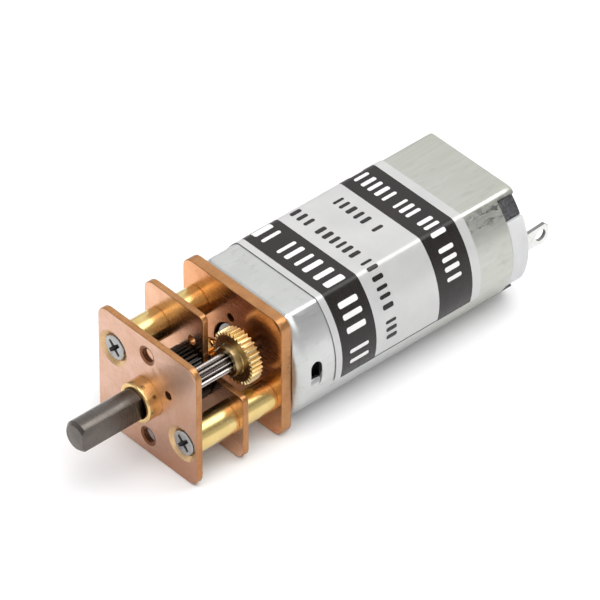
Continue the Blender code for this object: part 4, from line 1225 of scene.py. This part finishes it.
def print_bar(sketch, start, end, depth, half_height):
    """One printed bar, along the wrap from start to end, with rounded ends."""
    rounding = min(INK_ROUNDING, half_height, (end - start) / 2)
    steps = max(4, round((end - start) / 0.3))
    distances = [start + (end - start) * step / steps for step in range(steps + 1)]
    for step in range(1, 4):
        inside = rounding * (1 - math.cos(math.pi / 2 * step / 4))
        distances += [start + inside, end - inside]
    rings = []
    for distance in sorted(distances):
        near_end = max(0.0, rounding - min(distance - start, end - distance))
        half = max(half_height - rounding + math.sqrt(max(rounding**2 - near_end**2, 0.0)), 0.01)
        low, top = along_label(distance, INK_BOTTOM), along_label(distance, INK_TOP)
        corners = ((low, -half), (top, -half), (top, half), (low, half))
        rings.append(sketch.points([(x, depth + across, z) for (x, z), across in corners]))
    sketch.bar(rings)


def print_line(sketch, rng, start, end, depth, half_height, widths):
    """A line of strokes in groups, in place of a line of text."""
    group = (3, 6)
    place = start
    left = rng.randint(*group)
    while place < end:
        width = rng.uniform(*widths)
        print_bar(sketch, place, min(place + width, end), depth, half_height)
        left -= 1
        gap = widths[1] * (2.2 if left == 0 else rng.uniform(0.75, 1.15))
        left = left or rng.randint(*group)
        place += width + gap


def edge_line(sketch, side, height, half_width):
    """A thin printed line between the bands, on one side of the can, at a height."""
    rings = []
    for along in (FIRST_BAND[1], SECOND_BAND[0]):
        corners = []
        for offset, z in ((INK_BOTTOM, -1), (INK_TOP, -1), (INK_TOP, 1), (INK_BOTTOM, 1)):
            level = height + z * half_width
            corners.append((side * math.sqrt((CAN_RADIUS + offset) ** 2 - level**2), along, level))
        rings.append(sketch.points(corners))
    sketch.bar(rings)


def build_print():
    """The label's print: white strokes on the dark bands, dark strokes and a thin edge line on the silver."""
    rng = random.Random(7)
    white, dark = Sketch(), Sketch()
    print_line(white, rng, -9.0, 12.8, sum(FIRST_BAND) / 2, 1.1, (0.35, 0.75))
    print_line(white, rng, -9.0, 10.2, sum(SECOND_BAND) / 2, 0.85, (0.3, 0.5))
    print_line(dark, rng, -5.0, 12.6, 21.6, 0.62, (0.3, 0.5))
    print_line(dark, rng, -3.6, 2.2, 25.5, 0.62, (0.3, 0.5))
    for side in (-1, 1):
        edge_line(dark, side, LABEL_LOWER_EDGE + 0.12, 0.06)
    white.finish("label_white_print", "label", [LABEL_WHITE], added=True, sharp=40, weight=0)
    dark.finish("label_dark_print", "label", [LABEL_DARK], added=True, sharp=40, weight=0)


# ---- inside the motor


def dress_inner_nodes():
    """The CAD pieces that stay: they are inside the can, and get their own finishes."""
    finishes = {
        "magnet": MAGNET,
        "lamination": LAMINATION,
        "enamelled_wire": WINDING,
        "commutator_plastic": COMMUTATOR_PLASTIC,
        "commutator_copper": COPPER_STRIP,
        "spring_copper": COPPER_STRIP,
        "graphite": GRAPHITE,
        "washer_nylon": WASHER_NYLON,
    }
    for node, slot in SLOTS.items():
        if slot in finishes:
            for material_slot in frame["nodes"][node].material_slots:
                material_slot.material = finishes[slot]


# ---- floor, light and camera


def build_stage():
    """A plain pale floor."""
    work = bmesh.new()
    bmesh.ops.create_grid(work, x_segments=1, y_segments=1, size=3.0)
    floor = new_object("floor", new_mesh("floor", work))
    paper = Shading("floor_paper")
    paper.set(base_color=(0.93, 0.93, 0.935), roughness=0.9)
    floor.data.materials.append(paper.material)


def towards(azimuth, elevation):
    """A direction: azimuth 0 is ahead of the shaft's end and 90 is to its right, both in degrees."""
    turn, lift = math.radians(azimuth), math.radians(elevation)
    return Vector((math.sin(turn) * math.cos(lift), -math.cos(turn) * math.cos(lift), math.sin(lift)))


def new_light(name, azimuth, elevation, distance, size, radiance):
    """A soft box that looks at the object from a direction; the floor's white is a radiance of 1."""
    light = bpy.data.lights.new(name, "AREA")
    light.shape = "RECTANGLE"
    light.size, light.size_y = size
    light.energy = radiance * math.pi * size[0] * size[1]
    lamp = new_object(name, light)
    away = towards(azimuth, elevation)
    lamp.location = Vector((0.0, 0.0, AXIS_Z)) + away * distance
    lamp.rotation_euler = away.to_track_quat("Z", "Y").to_euler()


def build_world():
    """A pale tent that is brighter at the horizon than overhead, with one dark gap behind and to the right."""
    world = bpy.data.worlds.new("studio")
    bpy.context.scene.world = world
    world.use_nodes = True
    sky = Nodes(world.node_tree, "Generated")
    tent = sky.fade(sky.along("Z", sky.place), 0.12, 0.5, (0.72, 0.72, 0.73), (0.52, 0.52, 0.52))
    inputs = {0: sky.place, 1: towards(*DARK_GAP)}
    near = sky.add("ShaderNodeVectorMath", inputs, operation="DOT_PRODUCT").outputs["Value"]
    inner, outer = (math.cos(math.radians(radius)) for radius in DARK_GAP_RADII)
    gap = sky.range(near, outer, inner, interpolation_type="SMOOTHSTEP")
    sky.put(sky.tree.nodes["Background"].inputs["Color"], sky.blend(gap, tent, (0.2, 0.2, 0.2)))


def build_lights():
    """Soft boxes overhead, behind, to the right and to the left."""
    new_light("overhead", 20, 80, 0.9, (0.7, 0.7), 2.45)
    new_light("back_left_box", 228, 42, 0.8, (0.8, 0.8), 0.62)
    new_light("back_key", 162, 58, 0.8, (0.42, 0.42), 3.2)
    new_light("right_box", 84, 50, 0.8, (0.5, 0.5), 2.0)
    new_light("left_box", -50, 35, 0.8, (0.35, 0.6), 0.35)


def build_camera():
    """A long lens from the right of the shaft, looking down."""
    distance, across, above = 672.0, 1.03, 1.305
    target = Vector((0.0, -0.16, 6.5))
    back = towards(48.04, 39.925)
    right = Vector((0.0, 0.0, 1.0)).cross(back).normalized()
    camera = bpy.data.cameras.new("camera")
    camera.lens = 457.6
    camera.sensor_width = 36.0
    camera.clip_start = 0.01
    camera.clip_end = 10.0
    eye = new_object("camera", camera)
    eye.location = (target + back * distance + right * across + back.cross(right) * above) * MM
    eye.rotation_euler = back.to_track_quat("Z", "Y").to_euler()
    bpy.context.scene.camera = eye


build_plates()
build_posts()
build_frame_screws()
build_locating_pin()
build_output()
build_compound()
build_motor_shaft()
build_can()
build_crimps()
build_slot_tabs()
build_end_bell()
build_bearings()
build_terminals()
build_label()
build_print()
dress_inner_nodes()
build_stage()
build_world()
build_lights()
build_camera()
bpy.context.scene.view_settings.view_transform = "Standard"
